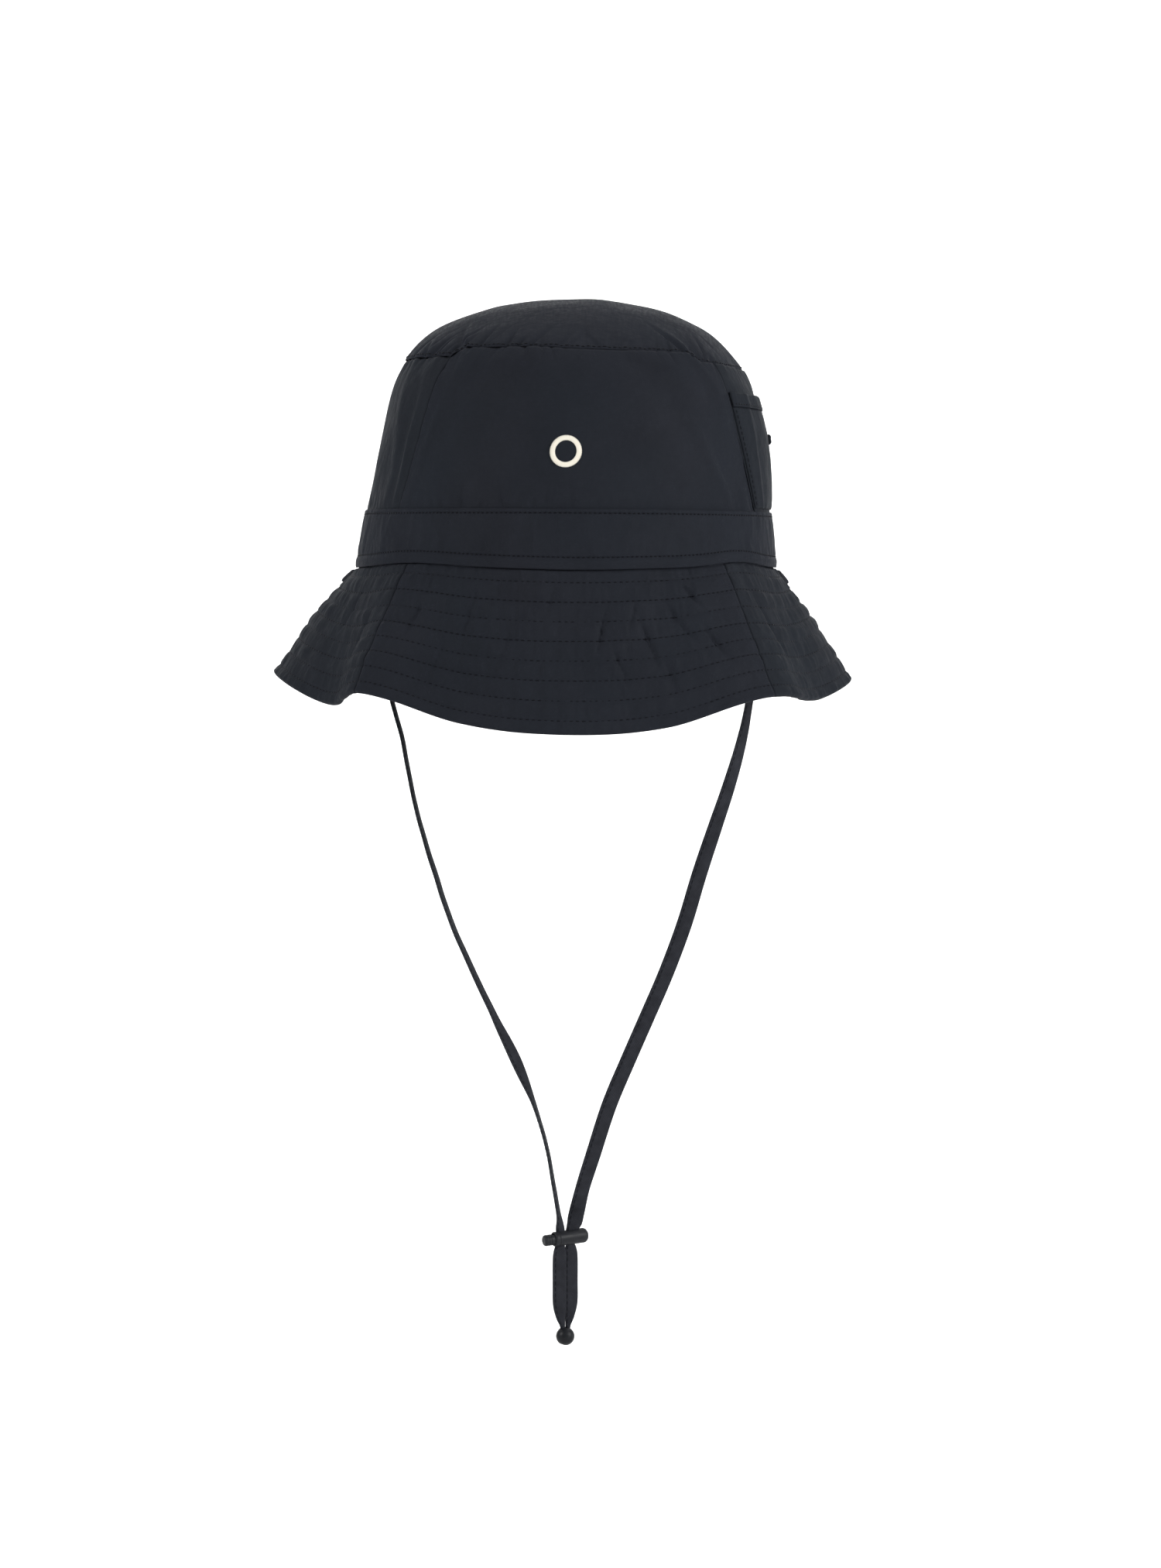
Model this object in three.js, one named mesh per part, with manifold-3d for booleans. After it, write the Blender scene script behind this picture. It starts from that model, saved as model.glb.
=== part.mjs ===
// Soft bucket hat with a quilted brim, a side pocket, a chin strap and a barrel toggle.
//
// Millimetres, +Z up. The origin is the middle of the head opening, in the plane where the crown meets
// the brim. The hat faces -Y and +X is the wearer's left. Azimuth 0 is the front and 90 is +X.
//
// Every layer of cloth is a thin closed shell cut from one of three surfaces: the crown, the pocket and
// the brim. Layers that lie on each other keep LAYER_GAP between them.

import * as THREE from "three";
import Module from "manifold-3d";
import { mergeVertices } from "three/addons/utils/BufferGeometryUtils.js";

const wasm = await Module();
wasm.setup();

// ---------------------------------------------------------------- driving dimensions, in mm

const CLOTH = 0.5; // one layer of shell fabric
const LAYER_GAP = 0.4; // air between layers that lie on each other
const SEAM_GAP = 0.3; // air between panels that are sewn edge to edge

// Half width and height of the crown's outline, from the brim up to the middle of the top.
const CROWN_OUTLINE = [
  [91.2, 0], [88.6, 20], [85.6, 40], [82.4, 58], [79.3, 74], [76, 83], [71.1, 91],
  [63, 99.4], [54.3, 105.1], [42.2, 110], [24.5, 114.2], [0, 116.8],
];
const CROWN_DEPTH_RATIO = 1.07; // front-to-back size over side-to-side size
const TIP_SEAM_Z = 91; // height of the seam between the wall and the top panel
const CROWN_LEAN = 4; // how far the top sits towards +X of the opening
const CROWN_TILT = [-0.027, -0.019]; // rise of the top seam per mm towards +X and +Y
const DOME = { z: 104, lean: -1.1 }; // height where the tilt has died out, and the shift of all above it

// Azimuth of the wall's upright seams: at the brim, and at the tip seam.
const WALL_SEAMS = {
  frontRight: [70, 53],
  backRight: [118, 128],
  backLeft: [242, 232],
  frontLeft: [302, 314],
};

const BAND_HEIGHT = 24;
const SWEATBAND = { bottom: 0.6, top: 25, thickness: 1 };
const LABEL = { width: 30, bottom: 30, top: 47 };

const POCKET = { bottom: 25.5, mouth: 75, width: 88, hem: 6, stand: 2.6, hemThickness: 1.1 };
const POCKET_TAB = { width: 11, bottom: 54, top: 58.5, thickness: 1.2 };
const EMBLEM = { z: 47.5, azimuth: -1.3, outerRadius: 6.6, innerRadius: 4.6, thickness: 0.6 };

// Azimuth, outward run and drop of the brim's edge below the crown seam.
const BRIM_EDGE = [
  [0, 13, 68.5], [24, 16, 65.5], [45, 29, 53], [68, 25, 56], [90, 34, 49.5], [112, 34, 50],
  [135, 35, 49], [160, 29, 57], [180, 27, 60], [200, 29, 57], [225, 35, 49], [248, 34, 50],
  [270, 37, 46], [297, 23, 57.5], [315, 29, 51.5], [336, 16, 64],
];
const BRIM_TOP_Z = -0.5;
const BRIM_BULGE = [1.75, -0.6]; // how far its sides belly out at half width, and the change towards +X
const BRIM_SEAMS = [47, 133, 227, 313];
const INTERLINING = 0.8; // thickness of the stiffener between the brim's two skins

const STRAP = { width: 7, thickness: 1.2 };
const SLOT = { azimuths: [90, 270], near: 1.4, far: 9.6, width: 2.4 }; // near and far: down the brim
const TAIL = { width: 4.4, thickness: 1.5, gap: 0.4 }; // where the strap gathers in the toggle

const TOGGLE = { z: -295.6, turn: 27, tilt: 3.5, length: 16.4, radius: 3.3, boreRadius: 2.75, middle: 2 };
const PLUNGER = { radius: 2.5, reach: 5, stroke: 2.4, end: 0.8 };
const THROAT = { length: 10, width: 2.3, middle: -0.5 }; // the toggle's opening for the two tails
const SPRING = { radius: 1.9, wire: 0.25, turns: 2.5 };
const BEAD = { z: -339.3, radius: 4.1, hole: [5.6, 2.3] };

// Route of the strap from each slot to the toggle: x, z, and the turn of its width from the X axis.
const STRAP_RIGHT = [
  [88.5, -10, 10], [87.2, -13.5, 25], [86.2, -18, 45], [84.2, -34, 62], [81.8, -50, 62],
  [79.4, -64, 58], [76.6, -78, 46], [71.9, -94.5, 32], [65.1, -115, 20], [58.5, -135, 12],
  [52.2, -156, 8], [44.9, -176, 8], [36.4, -196, 8], [27.2, -217, 8], [18.9, -237, 10],
  [12.1, -258, 14], [7.1, -274, 20],
];
const STRAP_LEFT = [
  [-88.5, -10, 10], [-87, -13.5, 32], [-85.4, -18, 58], [-82, -34, 76], [-78.4, -50, 79],
  [-75, -64, 80], [-71.8, -76, 80], [-68.3, -94.5, 80], [-63.5, -115, 79], [-57.5, -135, 76],
  [-50.5, -156, 76], [-41.9, -176, 73], [-32.4, -196, 68], [-22.2, -217, 48], [-14, -237, 78],
  [-8.8, -255, 82], [-5.6, -272, 80],
];

const COLOURS = {
  shell: 0x2b2f36,
  lining: 0x34383f,
  felt: 0x3a3c3f,
  strap: 0x1e2126,
  plastic: 0x26282b,
  steel: 0xa8aaad,
  thread: 0xe9e4d6,
  label: 0xd9d7d0,
};

// ---------------------------------------------------------------- helpers

const radians = THREE.MathUtils.degToRad;
const lerp = THREE.MathUtils.lerp;
const UP = new THREE.Vector3(0, 0, 1);

function fabric(color) {
  return new THREE.MeshStandardMaterial({ color, roughness: 0.8, metalness: 0 });
}

function steps(from, to, count) {
  return Array.from({ length: count + 1 }, (_, i) => lerp(from, to, i / count));
}

// A closed smooth curve through rows of [azimuth, value, value, ...].
function periodic(rows, azimuth, column) {
  const count = rows.length;
  const at = ((azimuth % 360) + 360) % 360;
  const row = (i) => {
    const turns = Math.floor(i / count);
    const r = rows[i - turns * count];
    return [r[0] + 360 * turns, r[column]];
  };
  let i = count - 1;
  while (rows[i][0] > at) i -= 1;
  const [a, b, c, d] = [row(i - 1), row(i), row(i + 1), row(i + 2)];
  const span = c[0] - b[0];
  const startSlope = ((c[1] - a[1]) / (c[0] - a[0])) * span;
  const endSlope = ((d[1] - b[1]) / (d[0] - b[0])) * span;
  const t = (at - b[0]) / span;
  return (
    (2 * t ** 3 - 3 * t ** 2 + 1) * b[1] +
    (t ** 3 - 2 * t ** 2 + t) * startSlope +
    (3 * t ** 2 - 2 * t ** 3) * c[1] +
    (t ** 3 - t ** 2) * endSlope
  );
}

// Outward direction, seen from above, at an azimuth of the oval.
function outward(azimuth) {
  const a = radians(azimuth);
  return new THREE.Vector3(Math.sin(a) * CROWN_DEPTH_RATIO, -Math.cos(a), 0).normalize();
}

// Collects triangles on shared points, and leaves out those that shrink to a line.
class Body {
  constructor() {
    this.points = [];
    this.index = new Map();
    this.triangles = [];
  }

  vertex(point) {
    const key = point.toArray().map((v) => v.toFixed(4)).join(" ");
    if (!this.index.has(key)) {
      this.index.set(key, this.points.length);
      this.points.push(point);
    }
    return this.index.get(key);
  }

  quad(a, b, c, d) {
    this.triangle(a, b, c);
    this.triangle(a, c, d);
  }

  triangle(a, b, c) {
    const [i, j, k] = [this.vertex(a), this.vertex(b), this.vertex(c)];
    if (i !== j && j !== k && k !== i) this.triangles.push([i, j, k]);
  }

  volume() {
    const sum = (total, [i, j, k]) =>
      total + this.points[i].dot(this.points[j].clone().cross(this.points[k]));
    return this.triangles.reduce(sum, 0) / 6;
  }

  geometry() {
    const flip = this.volume() < 0;
    const order = this.triangles.map(([i, j, k]) => (flip ? [i, k, j] : [i, j, k]));
    const geometry = new THREE.BufferGeometry();
    const positions = this.points.flatMap((p) => p.toArray());
    geometry.setAttribute("position", new THREE.Float32BufferAttribute(positions, 3));
    geometry.setIndex(order.flat());
    geometry.computeVertexNormals();
    return geometry;
  }
}

// A closed shell between two offsets of surface(u, v, offset), on a grid. hole(i, j) leaves cells out.
function shell(surface, us, vs, outer, inner, { wrap = false, hole = () => false } = {}) {
  const body = new Body();
  const columns = wrap ? us.length : us.length - 1;
  const rows = vs.length - 1;
  const open = (i, j) => j < 0 || j >= rows || (!wrap && (i < 0 || i >= columns));
  const present = (i, j) => !open(i, j) && !hole((i + columns) % columns, j);
  const at = (i, j, offset) => surface(us[i % us.length], vs[j], offset);
  const wall = (i, j, k, l) => body.quad(at(i, j, outer), at(k, l, outer), at(k, l, inner), at(i, j, inner));
  for (let i = 0; i < columns; i += 1) {
    for (let j = 0; j < rows; j += 1) {
      if (!present(i, j)) continue;
      body.quad(at(i, j, outer), at(i, j + 1, outer), at(i + 1, j + 1, outer), at(i + 1, j, outer));
      body.quad(at(i, j, inner), at(i + 1, j, inner), at(i + 1, j + 1, inner), at(i, j + 1, inner));
      if (!present(i, j - 1)) wall(i, j, i + 1, j);
      if (!present(i, j + 1)) wall(i + 1, j + 1, i, j + 1);
      if (!present(i - 1, j)) wall(i, j + 1, i, j);
      if (!present(i + 1, j)) wall(i + 1, j, i + 1, j + 1);
    }
  }
  return body.geometry();
}

// A flat band along stations of { point, across, width, thickness }, closed at both ends.
function ribbon(stations) {
  const body = new Body();
  const last = stations.length - 1;
  const sections = stations.map(({ point, across, width, thickness }, i) => {
    const before = stations[Math.max(i - 1, 0)].point;
    const after = stations[Math.min(i + 1, last)].point;
    const along = after.clone().sub(before).normalize();
    const side = across.clone().addScaledVector(along, -across.dot(along)).normalize();
    const face = along.clone().cross(side);
    const corner = (w, t) =>
      point.clone().addScaledVector(side, (w * width) / 2).addScaledVector(face, (t * thickness) / 2);
    return [corner(-1, -1), corner(1, -1), corner(1, 1), corner(-1, 1)];
  });
  for (let i = 0; i < last; i += 1) {
    const [a, b] = [sections[i], sections[i + 1]];
    for (let k = 0; k < 4; k += 1) {
      const next = (k + 1) % 4;
      body.quad(a[k], a[next], b[next], b[k]);
    }
  }
  const [first, end] = [sections[0], sections[last]];
  body.quad(first[3], first[2], first[1], first[0]);
  body.quad(...end);
  return body.geometry();
}

function toManifold(geometry) {
  const bare = geometry.clone();
  bare.deleteAttribute("normal");
  bare.deleteAttribute("uv");
  const merged = mergeVertices(bare, 1e-4);
  const mesh = new wasm.Mesh({
    numProp: 3,
    vertProperties: new Float32Array(merged.attributes.position.array),
    triVerts: new Uint32Array(merged.index.array),
  });
  return new wasm.Manifold(mesh);
}

function fromManifold(solid) {
  const mesh = solid.getMesh();
  const geometry = new THREE.BufferGeometry();
  geometry.setAttribute("position", new THREE.Float32BufferAttribute(mesh.vertProperties, 3));
  geometry.setIndex(Array.from(mesh.triVerts));
  geometry.computeVertexNormals();
  return geometry;
}

const hat = new THREE.Group();
hat.name = "bucket_hat";

function add(name, geometry, material, parent = hat) {
  const mesh = new THREE.Mesh(geometry, material);
  mesh.name = name;
  parent.add(mesh);
  return mesh;
}

// ---------------------------------------------------------------- the three surfaces

const outline = new THREE.SplineCurve(CROWN_OUTLINE.map(([r, z]) => new THREE.Vector2(r, z)));

// The share of the crown's outline below a height.
function outlineShare(z) {
  let [low, high] = [0, 1];
  for (let i = 0; i < 30; i += 1) {
    const middle = (low + high) / 2;
    if (outline.getPointAt(middle).y < z) low = middle;
    else high = middle;
  }
  return low;
}

const TIP_SHARE = outlineShare(TIP_SEAM_Z);

// A point of the crown at an azimuth and a share of the outline, moved out of the surface by offset.
function crown(azimuth, share, offset) {
  const a = radians(azimuth);
  const { x: radius, y: height } = outline.getPointAt(share);
  const tangent = outline.getTangentAt(Math.min(share, 0.999));
  const normal = outward(azimuth).multiplyScalar(tangent.y).addScaledVector(UP, -tangent.x).normalize();
  if (share === 1) normal.copy(UP);
  const point = new THREE.Vector3(radius * Math.sin(a), -radius * CROWN_DEPTH_RATIO * Math.cos(a), height);
  const raised = Math.min(height / TIP_SEAM_Z, 1);
  const domed = THREE.MathUtils.smoothstep(height, TIP_SEAM_Z, DOME.z);
  point.z += raised * (1 - domed) * (CROWN_TILT[0] * point.x + CROWN_TILT[1] * point.y);
  point.x += CROWN_LEAN * raised + DOME.lean * domed;
  return point.addScaledVector(normal, offset);
}

// The same surface by height above the brim, for what is sewn to the wall.
const crownAtHeight = (azimuth, z, offset) => crown(azimuth, outlineShare(z), offset);

// Azimuth of an upright seam at a share of the outline.
function seamAzimuth([atBrim, atTip], share) {
  return lerp(atBrim, atTip, share / TIP_SHARE);
}

// A point of the brim at an azimuth and a share of its width, moved out of the surface by offset.
function brim(azimuth, share, offset) {
  const a = radians(azimuth);
  const run = periodic(BRIM_EDGE, azimuth, 1);
  const drop = periodic(BRIM_EDGE, azimuth, 2);
  const [radius] = CROWN_OUTLINE[0];
  const away = outward(azimuth);
  const normal = away.clone().multiplyScalar(drop).addScaledVector(UP, run).normalize();
  const bulge = Math.sin(a) ** 2 * (BRIM_BULGE[0] + BRIM_BULGE[1] * Math.sin(a)) * Math.sin(Math.PI * share);
  return new THREE.Vector3(radius * Math.sin(a), -radius * CROWN_DEPTH_RATIO * Math.cos(a), BRIM_TOP_Z)
    .addScaledVector(away, run * share)
    .addScaledVector(UP, -drop * share)
    .addScaledVector(normal, bulge + offset);
}

function brimWidth(azimuth) {
  return Math.hypot(periodic(BRIM_EDGE, azimuth, 1), periodic(BRIM_EDGE, azimuth, 2));
}

// Angle, seen from above, that a length round the crown seam takes.
const arc = (length, azimuth) => {
  const a = radians(azimuth);
  const [radius] = CROWN_OUTLINE[0];
  const metric = radius * Math.hypot(Math.cos(a), CROWN_DEPTH_RATIO * Math.sin(a));
  return THREE.MathUtils.radToDeg(length / metric);
};

// ---------------------------------------------------------------- crown

// Offsets from the crown's surface of each layer's outer and inner face.
const WALL = [0, -CLOTH];
const LINING = [-CLOTH - LAYER_GAP, -2 * CLOTH - LAYER_GAP];
const INSIDE = LINING[1] - LAYER_GAP;
const BAND = [CLOTH + LAYER_GAP, LAYER_GAP];

// Nested layers share one grid, so that their facets never cross.
const COLUMN_ANGLE = 7.5;
const ROUND = steps(0, 360 - COLUMN_ANGLE, 360 / COLUMN_ANGLE - 1);
const SEAM_SHARE = 0.001;
const WALL_SHARES = steps(0, TIP_SHARE - SEAM_SHARE, 6);
const TIP_SHARES = steps(TIP_SHARE + SEAM_SHARE, 1, 5);

function buildWallPanels() {
  const { frontRight, backRight, backLeft, frontLeft } = WALL_SEAMS;
  const fromLeft = frontLeft.map((azimuth) => azimuth - 360);
  const panels = {
    crown_front_panel: [fromLeft, frontRight],
    crown_right_panel: [frontRight, backRight],
    crown_back_panel: [backRight, backLeft],
    crown_left_panel: [backLeft, frontLeft],
  };
  for (const [name, [start, end]] of Object.entries(panels)) {
    const surface = (u, share, offset) => {
      const [from, to] = [seamAzimuth(start, share), seamAzimuth(end, share)];
      const [gapFrom, gapTo] = [arc(SEAM_GAP / 2, from), arc(SEAM_GAP / 2, to)];
      return crown(lerp(from + gapFrom, to - gapTo, u), share, offset);
    };
    const columns = steps(0, 1, Math.ceil((end[0] - start[0]) / COLUMN_ANGLE));
    add(name, shell(surface, columns, WALL_SHARES, ...WALL), fabric(COLOURS.shell));
  }
}

function buildTip() {
  add("crown_tip_panel", shell(crown, ROUND, TIP_SHARES, ...WALL, { wrap: true }), fabric(COLOURS.shell));
}

function buildBand() {
  const heights = steps(0, BAND_HEIGHT, 2);
  add("crown_band", shell(crownAtHeight, ROUND, heights, ...BAND, { wrap: true }), fabric(COLOURS.shell));
}

function buildLinings() {
  const ring = { wrap: true };
  add("lining_wall", shell(crown, ROUND, WALL_SHARES, ...LINING, ring), fabric(COLOURS.lining));
  add("lining_tip", shell(crown, ROUND, TIP_SHARES, ...LINING, ring), fabric(COLOURS.lining));
}

function buildSweatband() {
  const { bottom, top, thickness } = SWEATBAND;
  const ring = shell(crownAtHeight, ROUND, [bottom, top], INSIDE, INSIDE - thickness, { wrap: true });
  add("sweatband", ring, fabric(COLOURS.lining));
}

function buildLabel() {
  const { width, bottom, top } = LABEL;
  const half = arc(width / 2, 180);
  const patch = shell(crownAtHeight, steps(180 - half, 180 + half, 4), [bottom, top], INSIDE, INSIDE - CLOTH);
  add("care_label", patch, fabric(COLOURS.label));
}

// A plain stitched ring on the front panel.
function buildEmblem() {
  const { z, azimuth, outerRadius, innerRadius, thickness } = EMBLEM;
  const narrower = CROWN_OUTLINE[0][0] / outline.getPointAt(outlineShare(z)).x;
  const surface = (turn, radius, offset) => {
    const [across, up] = [Math.sin(radians(turn)) * radius, Math.cos(radians(turn)) * radius];
    return crownAtHeight(azimuth + arc(across * narrower, azimuth), z + up, offset);
  };
  const ring = shell(
    surface, steps(0, 345, 23), [innerRadius, outerRadius], LAYER_GAP + thickness, LAYER_GAP, { wrap: true },
  );
  add("front_emblem", ring, fabric(COLOURS.thread));
}

// ---------------------------------------------------------------- pocket

// The pocket's face stands away from the wall most in the middle of its mouth.
function pocket(u, z, offset) {
  const share = outlineShare(z);
  const start = seamAzimuth(WALL_SEAMS.frontRight, share) + 1;
  const end = seamAzimuth(WALL_SEAMS.backRight, share) - 1;
  const up = (z - POCKET.bottom) / (POCKET.mouth - POCKET.bottom);
  const stand = POCKET.stand * Math.sin(Math.PI * u) ** 0.6 * Math.sin((Math.PI / 2) * up) ** 0.7;
  return crown(lerp(start, end, u), share, offset + LAYER_GAP + stand);
}

function buildPocket() {
  const { bottom, mouth, hem, hemThickness } = POCKET;
  const heights = steps(bottom, mouth - hem - SEAM_GAP, 4);
  const across = steps(0, 1, 10);
  add("pocket_panel", shell(pocket, across, heights, CLOTH, 0), fabric(COLOURS.shell));
  add("pocket_hem", shell(pocket, across, [mouth - hem, mouth], hemThickness, 0), fabric(COLOURS.shell));
}

function buildPocketTab() {
  const { width, bottom, top, thickness } = POCKET_TAB;
  const half = width / 2 / POCKET.width;
  const outer = CLOTH + LAYER_GAP;
  const tab = shell(pocket, steps(0.5 - half, 0.5 + half, 2), [bottom, top], outer + thickness, outer);
  add("pocket_tab", tab, fabric(COLOURS.shell));
}

// ---------------------------------------------------------------- brim

const UPPER_SKIN = [0, -CLOTH];
const STIFFENER = [UPPER_SKIN[1] - LAYER_GAP, UPPER_SKIN[1] - LAYER_GAP - INTERLINING];
const UNDER_SKIN = [STIFFENER[1] - LAYER_GAP, STIFFENER[1] - LAYER_GAP - CLOTH];
const SLOT_SHARES = [SLOT.near, SLOT.far].map((distance) => distance / brimWidth(90));
const BRIM_SHARES = [0, ...SLOT_SHARES, 0.37, 0.58, 0.79, 1];
const SLOT_ROW = 1;

// Azimuths between two brim seams, with a column for a strap slot where one falls between them.
function brimColumns(from, to) {
  const slot = SLOT.azimuths.find((azimuth) => azimuth > from && azimuth < to);
  if (slot === undefined) return steps(from, to, 12);
  const half = arc(SLOT.width / 2, slot);
  return [...steps(from, slot - half, 6), ...steps(slot + half, to, 6)];
}

const isSlot = (columns) => (i, j) =>
  j === SLOT_ROW && SLOT.azimuths.some((azimuth) => columns[i] < azimuth && columns[i + 1] > azimuth);

function buildBrimSkins() {
  const names = ["right", "back", "left", "front"];
  names.forEach((name, i) => {
    const from = BRIM_SEAMS[i] + arc(SEAM_GAP / 2, BRIM_SEAMS[i]);
    const next = BRIM_SEAMS[(i + 1) % 4] + (i === 3 ? 360 : 0);
    const columns = brimColumns(from, next - arc(SEAM_GAP / 2, next));
    const hole = isSlot(columns);
    const upper = shell(brim, columns, BRIM_SHARES, ...UPPER_SKIN, { hole });
    const under = shell(brim, columns, BRIM_SHARES, ...UNDER_SKIN, { hole });
    add(`brim_upper_${name}`, upper, fabric(COLOURS.shell));
    add(`brim_under_${name}`, under, fabric(COLOURS.shell));
  });
}

function buildInterlining() {
  const quarters = BRIM_SEAMS.map((seam, i) => {
    const next = BRIM_SEAMS[(i + 1) % 4] + (i === 3 ? 360 : 0);
    return brimColumns(seam, next).slice(0, -1);
  });
  const columns = quarters.flat();
  const ring = shell(brim, columns, BRIM_SHARES, ...STIFFENER, { wrap: true, hole: isSlot(columns) });
  add("brim_interlining", ring, fabric(COLOURS.felt));
}

// ---------------------------------------------------------------- chin strap

const STRAP_SHARE = (SLOT_SHARES[0] + SLOT_SHARES[1]) / 2;

// Down the brim where the strap lies on it.
function downBrim(azimuth) {
  const [near, far] = SLOT_SHARES;
  return brim(azimuth, far, 0).sub(brim(azimuth, near, 0)).normalize();
}

// The run that lies on the brim round the back of the crown, and dives through a slot at each side.
function buildStrapBack() {
  const lie = LAYER_GAP + STRAP.thickness / 2;
  const turn = 1.5;
  const below = UNDER_SKIN[1] - 0.2;
  const dive = [[0, below], [0, below / 2], [0, lie - turn]];
  const bend = steps(22.5, 90, 3).map((angle) => [
    turn * (1 - Math.cos(radians(angle))), lie - turn + turn * Math.sin(radians(angle)),
  ]);
  const half = [...dive, ...bend];
  const [from, to] = SLOT.azimuths;
  const station = (azimuth, offset) => ({
    point: brim(azimuth, STRAP_SHARE, offset),
    across: downBrim(azimuth),
    width: STRAP.width,
    thickness: STRAP.thickness,
  });
  const start = half.map(([along, offset]) => station(from + arc(along, from), offset));
  const middle = steps(from + 4, to - 4, 24).map((azimuth) => station(azimuth, lie));
  const end = half.map(([along, offset]) => station(to - arc(along, to), offset)).reverse();
  add("chin_strap_back", ribbon([...start, ...middle, ...end]), fabric(COLOURS.strap));
}

// Direction of the toggle's barrel, seen from above.
const BARREL = new THREE.Vector3(Math.cos(radians(TOGGLE.turn)), Math.sin(radians(TOGGLE.turn)), 0);

// Each hanging run leaves its slot, gathers in the toggle and ends in the bead.
function strapStations(side, route) {
  const slot = side > 0 ? SLOT.azimuths[0] : SLOT.azimuths[1];
  const { width, thickness } = STRAP;
  const across = downBrim(slot).multiplyScalar(side);
  const stations = [0.7, 1.7].map((below) => ({
    point: brim(slot, STRAP_SHARE, UNDER_SKIN[1] - below), across, width, thickness,
  }));
  for (const [x, z, turn] of route) {
    const level = new THREE.Vector3(Math.cos(radians(turn)), Math.sin(radians(turn)), 0);
    stations.push({ point: new THREE.Vector3(x, 0, z), across: level, width, thickness });
  }
  const beside = (distance, z, narrow, thick) => ({
    point: BARREL.clone().multiplyScalar(THROAT.middle + side * distance).setZ(z),
    across: BARREL,
    width: narrow,
    thickness: thick,
  });
  const tail = (TAIL.width + TAIL.gap) / 2;
  const end = BEAD.hole[0] / 4 - 0.1;
  stations.push(
    beside(tail + 2, -283, 5.6, 1.3),
    beside(tail, -290, TAIL.width, TAIL.thickness),
    beside(tail, -310, TAIL.width, TAIL.thickness),
    beside(tail, -329.5, TAIL.width, TAIL.thickness),
    beside(end, -335, 2.2, TAIL.thickness),
    beside(end, BEAD.z - 3, 2.2, TAIL.thickness),
  );
  return stations;
}

function buildStrapRuns() {
  add("chin_strap_right", ribbon(strapStations(1, STRAP_RIGHT)), fabric(COLOURS.strap));
  add("chin_strap_left", ribbon(strapStations(-1, STRAP_LEFT)), fabric(COLOURS.strap));
}

// ---------------------------------------------------------------- toggle and bead

const toggle = new THREE.Group();
toggle.position.set(0, 0, TOGGLE.z);
toggle.rotation.set(0, radians(-TOGGLE.tilt), radians(TOGGLE.turn), "ZYX");
hat.add(toggle);

// A round solid along the barrel's own X axis, from pairs of [x, radius] that close on the axis.
function turned(profile, sides) {
  const lathe = new THREE.LatheGeometry(profile.map(([x, r]) => new THREE.Vector2(r, x)), sides);
  return lathe.rotateZ(-Math.PI / 2);
}

// An upright box through the barrel, which itself leans by the toggle's tilt.
function upright(length, middle) {
  const box = new THREE.BoxGeometry(length, THROAT.width, 12);
  return box.translate(middle, 0, 0).rotateY(radians(TOGGLE.tilt));
}

const BARREL_FROM = TOGGLE.middle - TOGGLE.length / 2;
const BARREL_TO = BARREL_FROM + TOGGLE.length;
const BORE_END = BARREL_TO - 0.8;
const PLUNGER_END = THROAT.middle + THROAT.length / 2 + PLUNGER.end;

function buildBarrel() {
  const { radius, boreRadius } = TOGGLE;
  const outside = turned(
    [[BARREL_FROM, 0], [BARREL_FROM, radius - 0.4], [BARREL_FROM + 0.4, radius],
      [BARREL_TO - 1.4, radius], [BARREL_TO - 0.4, radius - 0.7], [BARREL_TO, radius - 1.5], [BARREL_TO, 0]],
    24,
  );
  const bore = turned(
    [[BARREL_FROM - 1, 0], [BARREL_FROM - 1, boreRadius], [BORE_END, boreRadius], [BORE_END, 0]], 24,
  );
  const solid = toManifold(outside)
    .subtract(toManifold(bore))
    .subtract(toManifold(upright(THROAT.length, THROAT.middle)));
  const plastic = new THREE.MeshStandardMaterial({ color: COLOURS.plastic, roughness: 0.45, metalness: 0 });
  add("toggle_barrel", fromManifold(solid), plastic, toggle);
}

function buildPlunger() {
  const { radius, reach, stroke } = PLUNGER;
  const tip = BARREL_FROM - reach;
  const outside = turned(
    [[tip, 0], [tip, radius - 1], [tip + 0.3, radius - 0.4], [tip + 1, radius],
      [PLUNGER_END, radius], [PLUNGER_END, 0]],
    24,
  );
  const window = upright(THROAT.length + stroke, THROAT.middle - stroke / 2);
  const solid = toManifold(outside).subtract(toManifold(window));
  const plastic = new THREE.MeshStandardMaterial({ color: COLOURS.plastic, roughness: 0.4, metalness: 0 });
  add("toggle_plunger", fromManifold(solid), plastic, toggle);
}

function buildSpring() {
  const { radius, wire, turns } = SPRING;
  const from = PLUNGER_END + wire + 0.2;
  const to = BORE_END - wire - 0.2;
  const points = steps(0, turns * 360, turns * 12).map((angle, i, all) => {
    const a = radians(angle);
    const x = lerp(from, to, i / (all.length - 1));
    return new THREE.Vector3(x, radius * Math.cos(a), radius * Math.sin(a));
  });
  const ring = steps(0, 300, 5).map((angle) => {
    const a = radians(angle);
    return new THREE.Vector2(wire * Math.cos(a), wire * Math.sin(a));
  });
  const coil = new THREE.ExtrudeGeometry(new THREE.Shape(ring), {
    steps: points.length - 1,
    extrudePath: new THREE.CatmullRomCurve3(points),
  });
  const steel = new THREE.MeshStandardMaterial({ color: COLOURS.steel, roughness: 0.3, metalness: 1 });
  add("toggle_spring", coil, steel, toggle);
}

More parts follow.
